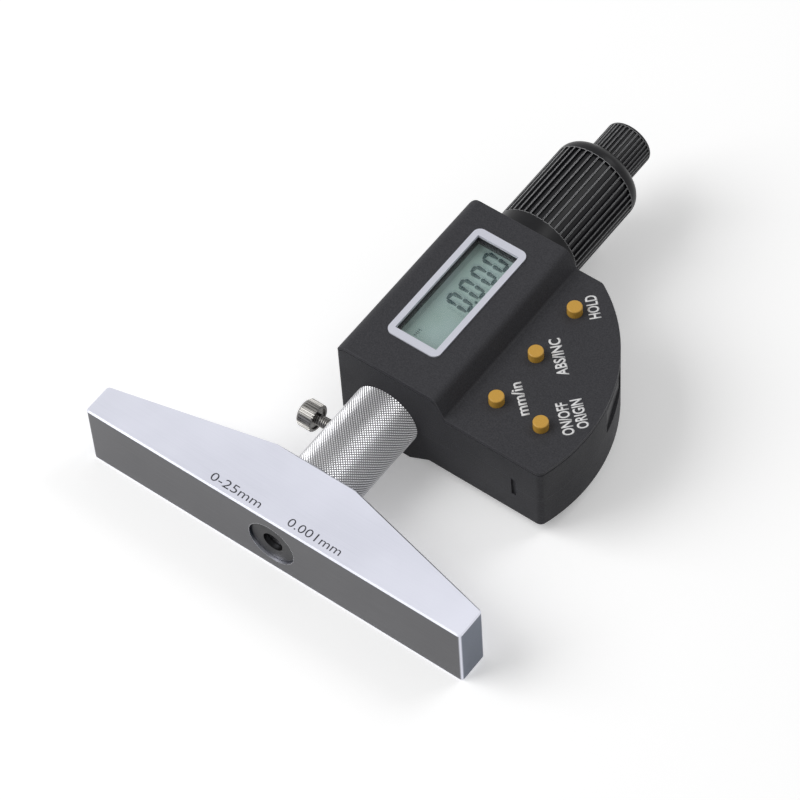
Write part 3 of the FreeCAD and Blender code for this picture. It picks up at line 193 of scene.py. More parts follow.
def rubbed_and_highlit_edges_group():
    """Sharp edges, where the finishes lay colour partly for rubbing and partly as a painted highlight: 1 on the edge
    and 0 on the flat.
    """
    group, entry, end = new_group(
        "rubbed_and_highlit_edges",
        [("NodeSocketFloat", "Reach", 0.0002), ("NodeSocketFloat", "Strength", 3.0)],
        [("NodeSocketFloat", "Edge")],
    )
    rounded = add(group, "ShaderNodeBevel", samples=4)
    group.links.new(entry.outputs["Reach"], rounded.inputs["Radius"])
    flat = add(group, "ShaderNodeNewGeometry")
    match = add(group, "ShaderNodeVectorMath", operation="DOT_PRODUCT")
    group.links.new(rounded.outputs["Normal"], match.inputs[0])
    group.links.new(flat.outputs["Normal"], match.inputs[1])
    turned = sums(group, "SUBTRACT", 1.0, match.outputs["Value"])
    strong = sums(group, "MULTIPLY", turned, entry.outputs["Strength"], clamp=True)
    group.links.new(strong, end.inputs["Edge"])
    return group


def reach_from_axis_group():
    """Distance from the spindle's axis, and how far a point lies beyond a given radius, as 0 to 1."""
    group, entry, end = new_group(
        "reach_from_axis",
        [("NodeSocketFloat", "Radius", 0.01), ("NodeSocketFloat", "Band", 0.0001)],
        [("NodeSocketFloat", "Beyond"), ("NodeSocketFloat", "Angle")],
    )
    place = add(group, "ShaderNodeTexCoord")
    parts = add(group, "ShaderNodeSeparateXYZ")
    group.links.new(place.outputs["Object"], parts.inputs[0])
    across = sums(group, "MULTIPLY", parts.outputs["X"], parts.outputs["X"])
    upward = sums(group, "MULTIPLY", parts.outputs["Z"], parts.outputs["Z"])
    radius = sums(group, "SQRT", sums(group, "ADD", across, upward))
    past = sums(group, "SUBTRACT", radius, entry.outputs["Radius"])
    group.links.new(sums(group, "DIVIDE", past, entry.outputs["Band"], clamp=True), end.inputs["Beyond"])
    group.links.new(sums(group, "ARCTAN2", parts.outputs["Z"], parts.outputs["X"]), end.inputs["Angle"])
    return group


MOULDED_GRAIN = moulded_grain_group()
GRINDING = grinding_group()
RUBBED_AND_HIGHLIT_EDGES = rubbed_and_highlit_edges_group()
REACH = reach_from_axis_group()


# ---- finishes ------------------------------------------------------------------------------------
def use_group(tree, group, **values):
    """A shared effect placed in a material with this material's own values."""
    node = add(tree, "ShaderNodeGroup", node_tree=group)
    for label, value in values.items():
        node.inputs[label.replace("_", " ").title()].default_value = value
    return node.outputs


def blend_colours(tree, factor, first, second):
    """A Mix node's colour. Each end is a colour or a socket."""
    node = add(tree, "ShaderNodeMix", data_type="RGBA")
    tree.links.new(factor, node.inputs["Factor"])
    for place, end in ((6, first), (7, second)):
        if isinstance(end, tuple):
            node.inputs[place].default_value = (*end, 1.0)
        else:
            tree.links.new(end, node.inputs[place])
    return node.outputs[2]


def spread(tree, value, low, high, lowest=0.0, highest=1.0):
    """Carries a value from one range into another."""
    node = add(tree, "ShaderNodeMapRange")
    node.inputs["From Min"].default_value = lowest
    node.inputs["From Max"].default_value = highest
    node.inputs["To Min"].default_value = low
    node.inputs["To Max"].default_value = high
    tree.links.new(value, node.inputs["Value"])
    return node.outputs["Result"]


def new_finish(name, metallic=0.0, specular=0.5, coat=0.0):
    """A material with its Principled BSDF, and the constants of its shader set."""
    material = bpy.data.materials.new(name)
    material.use_nodes = True
    tree = material.node_tree
    shader = tree.nodes["Principled BSDF"]
    shader.inputs["Metallic"].default_value = metallic
    shader.inputs["Specular IOR Level"].default_value = specular
    shader.inputs["Coat Weight"].default_value = coat
    shader.inputs["Coat Roughness"].default_value = 0.2
    return material, tree, shader


def raise_surface(tree, shader, height, depth, strength=1.0):
    """Gives the shader a bump of that depth in metres."""
    bump = add(tree, "ShaderNodeBump")
    bump.inputs["Strength"].default_value = strength
    bump.inputs["Distance"].default_value = depth
    tree.links.new(height, bump.inputs["Height"])
    tree.links.new(bump.outputs["Normal"], shader.inputs["Normal"])


def moulded_finish(name, dark, light, rubbed_and_highlit_colour, grain, depth, roughness, specular=0.3, rubbing_and_highlight=2.0, cloud=0.012):
    """Moulded plastic: fine grain, slow clouds of tone, and edges smoother and lighter, partly from rubbing and partly
    as a painted highlight.
    """
    material, tree, shader = new_finish(name, specular=specular)
    mould = use_group(tree, MOULDED_GRAIN, grain_size=grain, cloud_size=cloud)
    edge = use_group(tree, RUBBED_AND_HIGHLIT_EDGES, reach=0.00018, strength=rubbing_and_highlight)["Edge"]
    tone = blend_colours(tree, spread(tree, mould["Speckle"], 0.0, 1.0, 0.3, 0.7), dark, light)
    # painted highlight: edges lighten towards this colour, partly standing for rubbing
    tree.links.new(blend_colours(tree, edge, tone, rubbed_and_highlit_colour), shader.inputs["Base Color"])
    rough = spread(tree, mould["Cloud"], roughness - 0.06, roughness + 0.06, 0.3, 0.7)
    tree.links.new(sums(tree, "SUBTRACT", rough, sums(tree, "MULTIPLY", edge, 0.12)), shader.inputs["Roughness"])
    raise_surface(tree, shader, mould["Height"], depth)
    return material


def turned_finish(name, dark, light, stretch, depth, roughness, metallic=1.0, rubbing_and_highlight=1.5):
    """Turned or ground metal: lines along the cut, slow clouds, and bright edges, partly from rubbing and partly a
    painted highlight.
    """
    material, tree, shader = new_finish(name, metallic=metallic)
    lines = use_group(tree, GRINDING, stretch=stretch, cloud_size=0.01)
    edge = use_group(tree, RUBBED_AND_HIGHLIT_EDGES, reach=0.00015, strength=rubbing_and_highlight)["Edge"]
    tone = blend_colours(tree, spread(tree, lines["Streak"], 0.0, 1.0, 0.3, 0.7), dark, light)
    # painted highlight: edges lighten to a quarter above the light tone, partly standing for rubbing
    bright = tuple(min(1.0, channel * 1.25) for channel in light)
    tree.links.new(blend_colours(tree, edge, tone, bright), shader.inputs["Base Color"])
    tree.links.new(spread(tree, lines["Cloud"], roughness - 0.07, roughness + 0.07, 0.3, 0.7), shader.inputs["Roughness"])
    raise_surface(tree, shader, lines["Height"], depth)
    return material


def ground_base_finish():
    """Base bar: satin ground top; the measuring face, finished by lapping, is painted dark and the ends painted
    blue-grey as painted reflection and shade; edges are painted bright, partly from rubbing and partly as a painted
    highlight.
    """
    material, tree, shader = new_finish("ground_base", metallic=1.0)
    lines = use_group(tree, GRINDING, stretch=(90.0, 5200.0, 5200.0), cloud_size=0.03)
    edge = use_group(tree, RUBBED_AND_HIGHLIT_EDGES, reach=0.00025, strength=2.5)["Edge"]
    facing = add(tree, "ShaderNodeTexCoord")
    parts = add(tree, "ShaderNodeSeparateXYZ")
    tree.links.new(facing.outputs["Normal"], parts.inputs[0])
    # painted reflection and shade: the measuring face (normal towards -Y) and the ends (normal along X) get dark copies
    # of the steel's colour while the top stays pale
    front_face_shade = spread(tree, sums(tree, "MULTIPLY", parts.outputs["Y"], -1.0), 0.0, 1.0, 0.8, 0.97)
    ends = spread(tree, sums(tree, "ABSOLUTE", parts.outputs["X"]), 0.0, 1.0, 0.8, 0.97)
    streak = spread(tree, lines["Streak"], 0.0, 1.0, 0.3, 0.7)
    cloud = spread(tree, lines["Cloud"], 0.0, 1.0, 0.3, 0.7)
    top = blend_colours(tree, streak, (0.60, 0.61, 0.69), (0.66, 0.67, 0.75))
    top = blend_colours(tree, cloud, top, (0.68, 0.69, 0.77))
    face = blend_colours(tree, streak, (0.110, 0.110, 0.116), (0.135, 0.135, 0.142))
    end = blend_colours(tree, streak, (0.130, 0.150, 0.190), (0.165, 0.185, 0.230))
    colour = blend_colours(tree, front_face_shade, top, face)
    colour = blend_colours(tree, ends, colour, end)
    # painted highlight: edges lighten towards pale steel, partly standing for rubbing
    tree.links.new(blend_colours(tree, edge, colour, (0.86, 0.87, 0.92)), shader.inputs["Base Color"])
    tree.links.new(spread(tree, lines["Cloud"], 0.30, 0.40, 0.3, 0.7), shader.inputs["Roughness"])
    raise_surface(tree, shader, lines["Height"], 0.000006)
    return material


def knurled_finish():
    """Knurled sleeve: light peaks over dark grooves; the dark grooves are painted shade, and the light peaks are partly
    from rubbing and partly a painted highlight.
    """
    material, tree, shader = new_finish("knurled_steel", metallic=1.0)
    lines = use_group(tree, GRINDING, stretch=(2500.0, 400.0, 2500.0), cloud_size=0.006)
    reach = use_group(tree, REACH, radius=SLEEVE_RADIUS - KNURL_DEPTH, band=KNURL_DEPTH)
    # painted shade and highlight: dark colour in the knurl's grooves, light on its peaks
    tone = blend_colours(tree, reach["Beyond"], (0.12, 0.12, 0.125), (0.88, 0.88, 0.90))
    streak = spread(tree, lines["Streak"], 0.0, 0.25, 0.3, 0.7)
    tree.links.new(blend_colours(tree, streak, tone, (0.45, 0.45, 0.46)), shader.inputs["Base Color"])
    tree.links.new(spread(tree, lines["Cloud"], 0.26, 0.38, 0.3, 0.7), shader.inputs["Roughness"])
    raise_surface(tree, shader, lines["Height"], 0.000005)
    return material


def ribbed_finish(name, crest_radius, crest):
    """Black semi-gloss moulding whose rib crests carry a painted highlight, a light line of colour."""
    material, tree, shader = new_finish(name, specular=0.2)
    mould = use_group(tree, MOULDED_GRAIN, grain_size=0.00035, cloud_size=0.008)
    # painted highlight: a light line of colour on the rib crests, as strong as crest asks, where the edge mask also
    # finds an edge
    reach = use_group(tree, REACH, radius=crest_radius - 0.00006, band=0.00004)
    crest_highlight = sums(tree, "MULTIPLY", reach["Beyond"], crest, clamp=True)
    edge = use_group(tree, RUBBED_AND_HIGHLIT_EDGES, reach=0.00026, strength=12.0)["Edge"]
    mask = sums(tree, "MULTIPLY", crest_highlight, edge, clamp=True)
    tone = blend_colours(tree, spread(tree, mould["Speckle"], 0.0, 1.0, 0.3, 0.7), (0.004, 0.004, 0.005), (0.008, 0.008, 0.010))
    tree.links.new(blend_colours(tree, mask, tone, (0.50, 0.50, 0.51)), shader.inputs["Base Color"])
    tree.links.new(spread(tree, mould["Cloud"], 0.30, 0.40, 0.3, 0.7), shader.inputs["Roughness"])
    raise_surface(tree, shader, mould["Height"], 0.000008)
    return material


def printed_finish(name, dark, light, roughness):
    """Ink or paint laid on thin: slightly uneven, with a faint grain."""
    material, tree, shader = new_finish(name, specular=0.3)
    mould = use_group(tree, MOULDED_GRAIN, grain_size=0.0001, cloud_size=0.002)
    tone = blend_colours(tree, spread(tree, mould["Speckle"], 0.0, 1.0, 0.3, 0.7), dark, light)
    tree.links.new(tone, shader.inputs["Base Color"])
    tree.links.new(spread(tree, mould["Cloud"], roughness - 0.08, roughness + 0.08, 0.3, 0.7), shader.inputs["Roughness"])
    raise_surface(tree, shader, mould["Height"], 0.000002)
    return material


def display_finish():
    """Liquid crystal panel: grey-green, clouded, with a faint mesh of its rear reflector."""
    material, tree, shader = new_finish("display_panel", specular=0.4)
    mould = use_group(tree, MOULDED_GRAIN, grain_size=0.0001, cloud_size=0.006)
    cloud = spread(tree, mould["Cloud"], 0.0, 1.0, 0.35, 0.65)
    tone = blend_colours(tree, cloud, (0.27, 0.375, 0.345), (0.31, 0.415, 0.405))
    tree.links.new(tone, shader.inputs["Base Color"])
    tree.links.new(spread(tree, mould["Speckle"], 0.30, 0.42, 0.3, 0.7), shader.inputs["Roughness"])
    raise_surface(tree, shader, mould["Height"], 0.000001)
    return material


def window_finish():
    """Clear window with faint wiping marks."""
    material, tree, shader = new_finish("clear_window", specular=0.5)
    shader.inputs["Base Color"].default_value = (0.95, 0.98, 0.97, 1.0)
    shader.inputs["Transmission Weight"].default_value = 1.0
    shader.inputs["Alpha"].default_value = 0.15
    shader.inputs["IOR"].default_value = 1.45
    lines = use_group(tree, GRINDING, stretch=(1200.0, 60.0, 1200.0), cloud_size=0.01)
    tree.links.new(spread(tree, lines["Cloud"], 0.02, 0.06, 0.3, 0.7), shader.inputs["Roughness"])
    raise_surface(tree, shader, lines["Height"], 0.0000004)
    return material


def circuit_finish():
    """Circuit board: green solder mask with copper tracks just under it."""
    material, tree, shader = new_finish("circuit_board", specular=0.5, coat=0.3)
    mould = use_group(tree, MOULDED_GRAIN, grain_size=0.0002, cloud_size=0.004)
    place = add(tree, "ShaderNodeTexCoord")
    tracks = add(tree, "ShaderNodeTexBrick")
    tracks.inputs["Scale"].default_value = 260.0
    tracks.inputs["Mortar Size"].default_value = 0.03
    tree.links.new(place.outputs["Object"], tracks.inputs["Vector"])
    tone = blend_colours(tree, spread(tree, mould["Cloud"], 0.0, 1.0, 0.35, 0.65), (0.012, 0.10, 0.035), (0.02, 0.15, 0.05))
    tree.links.new(blend_colours(tree, tracks.outputs["Fac"], tone, (0.06, 0.24, 0.10)), shader.inputs["Base Color"])
    tree.links.new(spread(tree, mould["Speckle"], 0.30, 0.42, 0.3, 0.7), shader.inputs["Roughness"])
    raise_surface(tree, shader, tracks.outputs["Fac"], 0.00003)
    return material


CHARCOAL_SHELL = moulded_finish(
    "charcoal_shell", (0.029, 0.029, 0.032), (0.054, 0.054, 0.059), (0.12, 0.12, 0.13), 0.0003, 0.00003, 0.56, specular=0.14, rubbing_and_highlight=1.2
)
CHARCOAL_COVER = moulded_finish(
    "charcoal_cover", (0.032, 0.032, 0.036), (0.056, 0.056, 0.062), (0.13, 0.13, 0.14), 0.0003, 0.00003, 0.54, specular=0.14, rubbing_and_highlight=1.2
)
DARK_COVER = moulded_finish(
    "dark_cover", (0.012, 0.012, 0.014), (0.024, 0.024, 0.028), (0.09, 0.09, 0.10), 0.00025, 0.00002, 0.42, specular=0.2, rubbing_and_highlight=1.5
)
AMBER_BUTTON = moulded_finish(
    "amber_button", (0.55, 0.30, 0.045), (0.66, 0.38, 0.065), (0.80, 0.52, 0.14), 0.0002, 0.000006, 0.38, specular=0.4, rubbing_and_highlight=1.0
)
INNER_MOULDING = moulded_finish(
    "inner_moulding", (0.006, 0.006, 0.007), (0.014, 0.014, 0.015), (0.03, 0.03, 0.03), 0.0004, 0.00002, 0.55, rubbing_and_highlight=0.5
)
BEZEL_PAINT = moulded_finish(
    "bezel_paint", (0.62, 0.63, 0.71), (0.72, 0.73, 0.81), (0.85, 0.86, 0.92), 0.00012, 0.000008, 0.42, specular=0.5, rubbing_and_highlight=1.0
)
BASE_STEEL = ground_base_finish()
KNURLED_STEEL = knurled_finish()
DARK_STEEL = turned_finish("dark_steel", (0.030, 0.030, 0.032), (0.060, 0.060, 0.062), (2600.0, 300.0, 2600.0), 0.000004, 0.38)
NICKEL = turned_finish("bright_nickel", (0.14, 0.136, 0.13), (0.34, 0.33, 0.315), (300.0, 2200.0, 2200.0), 0.000005, 0.24)
HARDENED_STEEL = turned_finish("hardened_steel", (0.40, 0.40, 0.42), (0.56, 0.56, 0.58), (3000.0, 250.0, 3000.0), 0.000002, 0.22)
BRASS = turned_finish("turned_brass", (0.58, 0.42, 0.16), (0.78, 0.60, 0.27), (500.0, 2600.0, 2600.0), 0.000004, 0.26)
CAST_METAL = turned_finish("cast_chassis", (0.42, 0.42, 0.43), (0.58, 0.58, 0.60), (900.0, 900.0, 900.0), 0.00002, 0.48)
BATTERY_STEEL = turned_finish("battery_case", (0.60, 0.60, 0.61), (0.74, 0.74, 0.74), (1500.0, 1500.0, 400.0), 0.000003, 0.28)
THIMBLE_BLACK = ribbed_finish("thimble_black", THIMBLE_RADIUS, 1.0)
KNOB_BLACK = ribbed_finish("knob_black", KNOB_RADIUS, 0.8)
DISPLAY_GREEN = display_finish()
CLEAR_WINDOW = window_finish()
SOLDER_MASK = circuit_finish()
WHITE_PRINT = printed_finish("white_print", (0.78, 0.78, 0.79), (0.90, 0.90, 0.90), 0.5)
ENGRAVED_INK = printed_finish("engraved_ink", (0.035, 0.035, 0.045), (0.07, 0.07, 0.085), 0.6)
DISPLAY_INK = printed_finish("display_ink", (0.016, 0.040, 0.044), (0.030, 0.062, 0.068), 0.45)

NODE_FINISHES = {
    "base_bar": BASE_STEEL,
    "guide_bush": DARK_STEEL,
    "sleeve": KNURLED_STEEL,
    "top_cover": CHARCOAL_COVER,
    "front_shell": CHARCOAL_SHELL,
    "back_shell": CHARCOAL_SHELL,
    "shell_screws": NICKEL,
    "display_bezel": BEZEL_PAINT,
    "display_window": CLEAR_WINDOW,
    "display_panel": DISPLAY_GREEN,
    "display_frame": INNER_MOULDING,
    "display_board": SOLDER_MASK,
    "button_switches": INNER_MOULDING,
    "main_board": SOLDER_MASK,
    "battery": BATTERY_STEEL,
    "battery_contacts": BATTERY_STEEL,
    "data_socket": INNER_MOULDING,
    "chassis": CAST_METAL,
    "encoder_stator": SOLDER_MASK,
    "spindle_nut": BRASS,
    "barrel": HARDENED_STEEL,
    "lock_screw": NICKEL,
    "lock_pad": BRASS,
    "thimble": THIMBLE_BLACK,
    "retaining_ring": HARDENED_STEEL,
    "drive_shaft": HARDENED_STEEL,
    "ratchet_wheel": HARDENED_STEEL,
    "ratchet_screw": NICKEL,
    "ratchet_knob": KNOB_BLACK,
    "click_plate": HARDENED_STEEL,
    "ratchet_spring": HARDENED_STEEL,
    "spindle": HARDENED_STEEL,
    "measuring_rod": HARDENED_STEEL,
    "encoder_rotor": SOLDER_MASK,
    "button_inch": AMBER_BUTTON,
    "button_absolute": AMBER_BUTTON,
    "button_hold": AMBER_BUTTON,
    "button_origin": AMBER_BUTTON,
    "battery_cover": DARK_COVER,
    "data_port_cover": DARK_COVER,
}
for node_name, finish in NODE_FINISHES.items():
    for slot in nodes[node_name].material_slots:
        slot.material = finish


# ---- pieces --------------------------------------------------------------------------------------
def place_piece(shape, name, body, finish):
    """Turns a finished bmesh into a piece that rides on a body and has its finish."""
    mesh = bpy.data.meshes.new(name)
    shape.to_mesh(mesh)
    shape.free()
    return place_mesh(mesh, name, body, finish)


def place_mesh(mesh, name, body, finish):
    """A mesh already in place becomes a piece that rides on a body."""
    piece = bpy.data.objects.new(name, mesh)
    bpy.context.scene.collection.objects.link(piece)
    mesh.materials.clear()
    mesh.materials.append(finish)
    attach(piece, body)
    return piece


def spun_profile(points, steps):
    """A closed profile of (radius, y) points spun once round the Y axis."""
    shape = bmesh.new()
    corners = [shape.verts.new((radius, y, 0.0)) for radius, y in points]
    for first, second in zip(corners, corners[1:] + corners[:1]):
        shape.edges.new((first, second))
    bmesh.ops.spin(
        shape, geom=shape.verts[:] + shape.edges[:], cent=(0, 0, 0), axis=(0, 1, 0),
        angle=2 * math.pi, steps=steps, use_merge=True,
    )
    bmesh.ops.remove_doubles(shape, verts=shape.verts[:], dist=1e-7)
    bmesh.ops.recalc_face_normals(shape, faces=shape.faces[:])
    return shape


def knurled_sleeve():
    """The sleeve with its diamond knurl, bore, stem and the hole for the lock screw."""
    front, rear = sleeve_low.y, housing_front
    knurl_front, knurl_rear = front + SLEEVE_EDGE, rear
    pitch = (knurl_rear - knurl_front) / KNURL_ROWS
    profile = [(SLEEVE_BORE_RADIUS, front), (SLEEVE_RADIUS - SLEEVE_EDGE, front)]
    profile += [(SLEEVE_RADIUS, knurl_front + row * pitch) for row in range(KNURL_ROWS + 1)]
    profile += [(SLEEVE_STEM_RADIUS, rear), (SLEEVE_STEM_RADIUS, sleeve_high.y), (SLEEVE_BORE_RADIUS, sleeve_high.y)]
    shape = spun_profile(profile, KNURL_COLUMNS)
    grooves = set()
    for corner in shape.verts:
        radius = math.hypot(corner.co.x, corner.co.z)
        if radius < SLEEVE_RADIUS - SLEEVE_EDGE / 2:
            continue
        column = round(math.atan2(corner.co.z, corner.co.x) / (2 * math.pi / KNURL_COLUMNS))
        row = round((corner.co.y - knurl_front) / pitch)
        if (row + column) % 2:
            shrink = (radius - KNURL_DEPTH) / radius
            corner.co.x *= shrink
            corner.co.z *= shrink
            grooves.add(corner)
    for face in shape.faces[:]:
        low = [corner for corner in face.verts if corner in grooves]
        if len(low) == 2 and not any(len(set(edge.verts) & set(low)) == 2 for edge in face.edges):
            bmesh.utils.face_split(face, low[0], low[1])
    piece = place_piece(shape, "knurled_sleeve", "frame", KNURLED_STEEL)
    cutter_shape = bmesh.new()
    bmesh.ops.create_cone(
        cutter_shape, cap_ends=True, segments=32, radius1=SCREW_HOLE_RADIUS, radius2=SCREW_HOLE_RADIUS, depth=0.008,
        matrix=Matrix.Translation((-0.0065, (lock_low.y + lock_high.y) / 2, 0.0)) @ Matrix.Rotation(math.pi / 2, 4, "Y"),
    )
    cutter_mesh = bpy.data.meshes.new("screw_hole")
    cutter_shape.to_mesh(cutter_mesh)
    cutter_shape.free()
    cutter = bpy.data.objects.new("screw_hole", cutter_mesh)
    bpy.context.scene.collection.objects.link(cutter)
    hole = piece.modifiers.new("screw_hole", "BOOLEAN")
    hole.object = cutter
    hole.solver = "EXACT"
    bpy.context.view_layer.update()
    drilled = bpy.data.meshes.new_from_object(piece.evaluated_get(bpy.context.evaluated_depsgraph_get()))
    piece.modifiers.clear()
    piece.data = drilled
    bpy.data.objects.remove(cutter)
    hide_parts("sleeve")
    return piece


def lock_thread():
    """The ridge of the lock screw's thread, wound along its shank."""
    shape = bmesh.new()
    middle = (lock_low.y + lock_high.y) / 2
    foot, crest = LOCK_SHANK_RADIUS - 0.00004, LOCK_SHANK_RADIUS + LOCK_THREAD_DEPTH
    half = LOCK_THREAD_PITCH * 0.42
    ring = [(LOCK_THREAD_START - half, foot), (LOCK_THREAD_START, crest), (LOCK_THREAD_START + half, foot)]
    corners = [shape.verts.new((x, middle, radius)) for x, radius in ring]
    face = shape.faces.new(corners)
    turns = (LOCK_THREAD_END - LOCK_THREAD_START) / LOCK_THREAD_PITCH
    steps = round(turns * 20)
    bmesh.ops.spin(
        shape, geom=[face] + face.edges[:] + face.verts[:], cent=(0, middle, 0), axis=(1, 0, 0),
        dvec=((LOCK_THREAD_END - LOCK_THREAD_START) / steps, 0, 0), angle=turns * 2 * math.pi, steps=steps,
    )
    bmesh.ops.recalc_face_normals(shape, faces=shape.faces[:])
    return place_piece(shape, "lock_screw_thread", "lock_screw", NICKEL)


def lettering(name, words, start, end, height, surface, finish, weight=0.0, depth=INK_THICKNESS):
    """Words lying on a face that looks up, fitted between two points of their baseline and to their height."""
    curve = bpy.data.curves.new(name, "FONT")
    curve.body = words
    curve.size = 1.0
    curve.offset = weight
    curve.resolution_u = 3
    curve.fill_mode = "BOTH"
    writing = bpy.data.objects.new(name + "_curve", curve)
    bpy.context.scene.collection.objects.link(writing)
    bpy.context.view_layer.update()
    mesh = bpy.data.meshes.new_from_object(writing.evaluated_get(bpy.context.evaluated_depsgraph_get()))
    bpy.data.objects.remove(writing)
    flat = bmesh.new()
    flat.from_mesh(mesh)
    bpy.data.meshes.remove(mesh)
    bmesh.ops.remove_doubles(flat, verts=flat.verts[:], dist=1e-5)
    left = min(corner.co.x for corner in flat.verts)
    right = max(corner.co.x for corner in flat.verts)
    foot = min(corner.co.y for corner in flat.verts)
    head = max(corner.co.y for corner in flat.verts)
    start, end = Vector(start), Vector(end)
    along = (end - start).normalized()
    upward = Vector((-along.y, along.x))
    wide = (end - start).length / (right - left)
    tall = height / (head - foot)
    for corner in flat.verts:
        across = (corner.co.x - left) * wide
        rise = (corner.co.y - foot) * tall
        spot = start + along * across + upward * rise
        corner.co = (spot.x, spot.y, surface)
    bmesh.ops.recalc_face_normals(flat, faces=flat.faces[:])
    lifted = bmesh.ops.extrude_face_region(flat, geom=flat.faces[:])
    raised = [part for part in lifted["geom"] if isinstance(part, bmesh.types.BMVert)]
    bmesh.ops.translate(flat, verts=raised, vec=(0, 0, depth))
    bmesh.ops.recalc_face_normals(flat, faces=flat.faces[:])
    return place_piece(flat, name, "frame", finish)


def figure_bar(shape, middle, length, upright, place):
    """One lit bar of a figure: a flat strip with pointed ends, set into the shape."""
    made = bmesh.ops.create_circle(shape, cap_ends=True, segments=6, radius=FIGURE_STROKE / math.sqrt(3))
    shift = length / 2 - FIGURE_STROKE / math.sqrt(3)
    for corner in made["verts"]:
        corner.co.x += math.copysign(shift, corner.co.x)
    turn = Matrix.Rotation(math.pi / 2, 4, "Z") if upright else Matrix.Identity(4)
    bmesh.ops.transform(shape, matrix=place @ Matrix.Translation((*middle, 0.0)) @ turn, verts=made["verts"])


def display_figures():
    """The reading 0.000: four figures of lit bars and a decimal point, on the display's face."""
    shape = bmesh.new()
    wide, tall = FIGURE_WIDTH - FIGURE_STROKE, FIGURE_HEIGHT - FIGURE_STROKE
    bars = {
        "top": ((0.0, tall / 2), wide, False),
        "bottom": ((0.0, -tall / 2), wide, False),
        "upper_left": ((-wide / 2, tall / 4), tall / 2, True),
        "upper_right": ((wide / 2, tall / 4), tall / 2, True),
        "lower_left": ((-wide / 2, -tall / 4), tall / 2, True),
        "lower_right": ((wide / 2, -tall / 4), tall / 2, True),
    }
    surface = panel_top + INK_THICKNESS / 2
    for figure in range(4):
        # figures read along Y with their tops towards -X, and lean a little towards +Y
        place = Matrix((
            (0.0, -1.0, 0.0, FIGURE_MIDDLE_X),
            (1.0, FIGURE_SLANT, 0.0, FIRST_FIGURE_Y + figure * FIGURE_PITCH),
            (0.0, 0.0, 1.0, surface),
            (0.0, 0.0, 0.0, 1.0),
        ))
        for bar in LIT_BARS:
            middle, length, upright = bars[bar]
            figure_bar(shape, middle, length - FIGURE_GAP, upright, place)
        if figure == 0:
            point = bmesh.ops.create_circle(shape, cap_ends=True, segments=10, radius=FIGURE_STROKE * 0.42)
            bmesh.ops.transform(
                shape, matrix=place @ Matrix.Translation((FIGURE_PITCH / 2, -FIGURE_HEIGHT / 2 + FIGURE_STROKE * 0.4, 0.0)),
                verts=point["verts"],
            )
    lifted = bmesh.ops.extrude_face_region(shape, geom=shape.faces[:])
    raised = [part for part in lifted["geom"] if isinstance(part, bmesh.types.BMVert)]
    bmesh.ops.translate(shape, verts=raised, vec=(0, 0, INK_THICKNESS))
    bmesh.ops.recalc_face_normals(shape, faces=shape.faces[:])
    return place_piece(shape, "display_figures", "frame", DISPLAY_INK)


knurled_sleeve()
lock_thread()
lettering("range_marking", "0-25mm", (-0.0170, 0.00135), (-0.0037, 0.00135), ENGRAVING_HEIGHT, base_top, ENGRAVED_INK, ENGRAVING_WEIGHT)
lettering("step_marking", "0.001mm", (0.0036, 0.00145), (0.0174, 0.00145), ENGRAVING_HEIGHT, base_top, ENGRAVED_INK, ENGRAVING_WEIGHT)
lettering("hold_label", "HOLD", (0.02797, 0.08236), (0.02342, 0.08680), LABEL_HEIGHT, LOBE_TOP, WHITE_PRINT, LABEL_WEIGHT)
lettering("absolute_label", "ABS/INC", (0.03103, 0.06597), (0.02368, 0.07285), LABEL_HEIGHT, LOBE_TOP, WHITE_PRINT, LABEL_WEIGHT)
lettering("inch_label", "mm/in", (0.03017, 0.05259), (0.02356, 0.05853), LABEL_HEIGHT, LOBE_TOP, WHITE_PRINT, LABEL_WEIGHT)
lettering("power_label", "ON/OFF", (0.04102, 0.05398), (0.03468, 0.05986), LABEL_HEIGHT, LOBE_TOP, WHITE_PRINT, LABEL_WEIGHT)
lettering("origin_label", "ORIGIN", (0.04251, 0.05722), (0.03669, 0.06237), LABEL_HEIGHT, LOBE_TOP, WHITE_PRINT, LABEL_WEIGHT)
lettering("unit_sign", "MM", (-0.0009, 0.0541), (-0.0009, 0.0561), 0.0009, panel_top, DISPLAY_INK)
display_figures()


# ---- studio and camera ---------------------------------------------------------------------------
def seen_directly(tree):
    """1 for what the camera sees, also in a reflection or through glass, and 0 for light on the part."""
    path = add(tree, "ShaderNodeLightPath")
    seen = sums(tree, "ADD", path.outputs["Is Camera Ray"], path.outputs["Is Glossy Ray"])
    return sums(tree, "ADD", seen, path.outputs["Is Transmission Ray"], clamp=True)


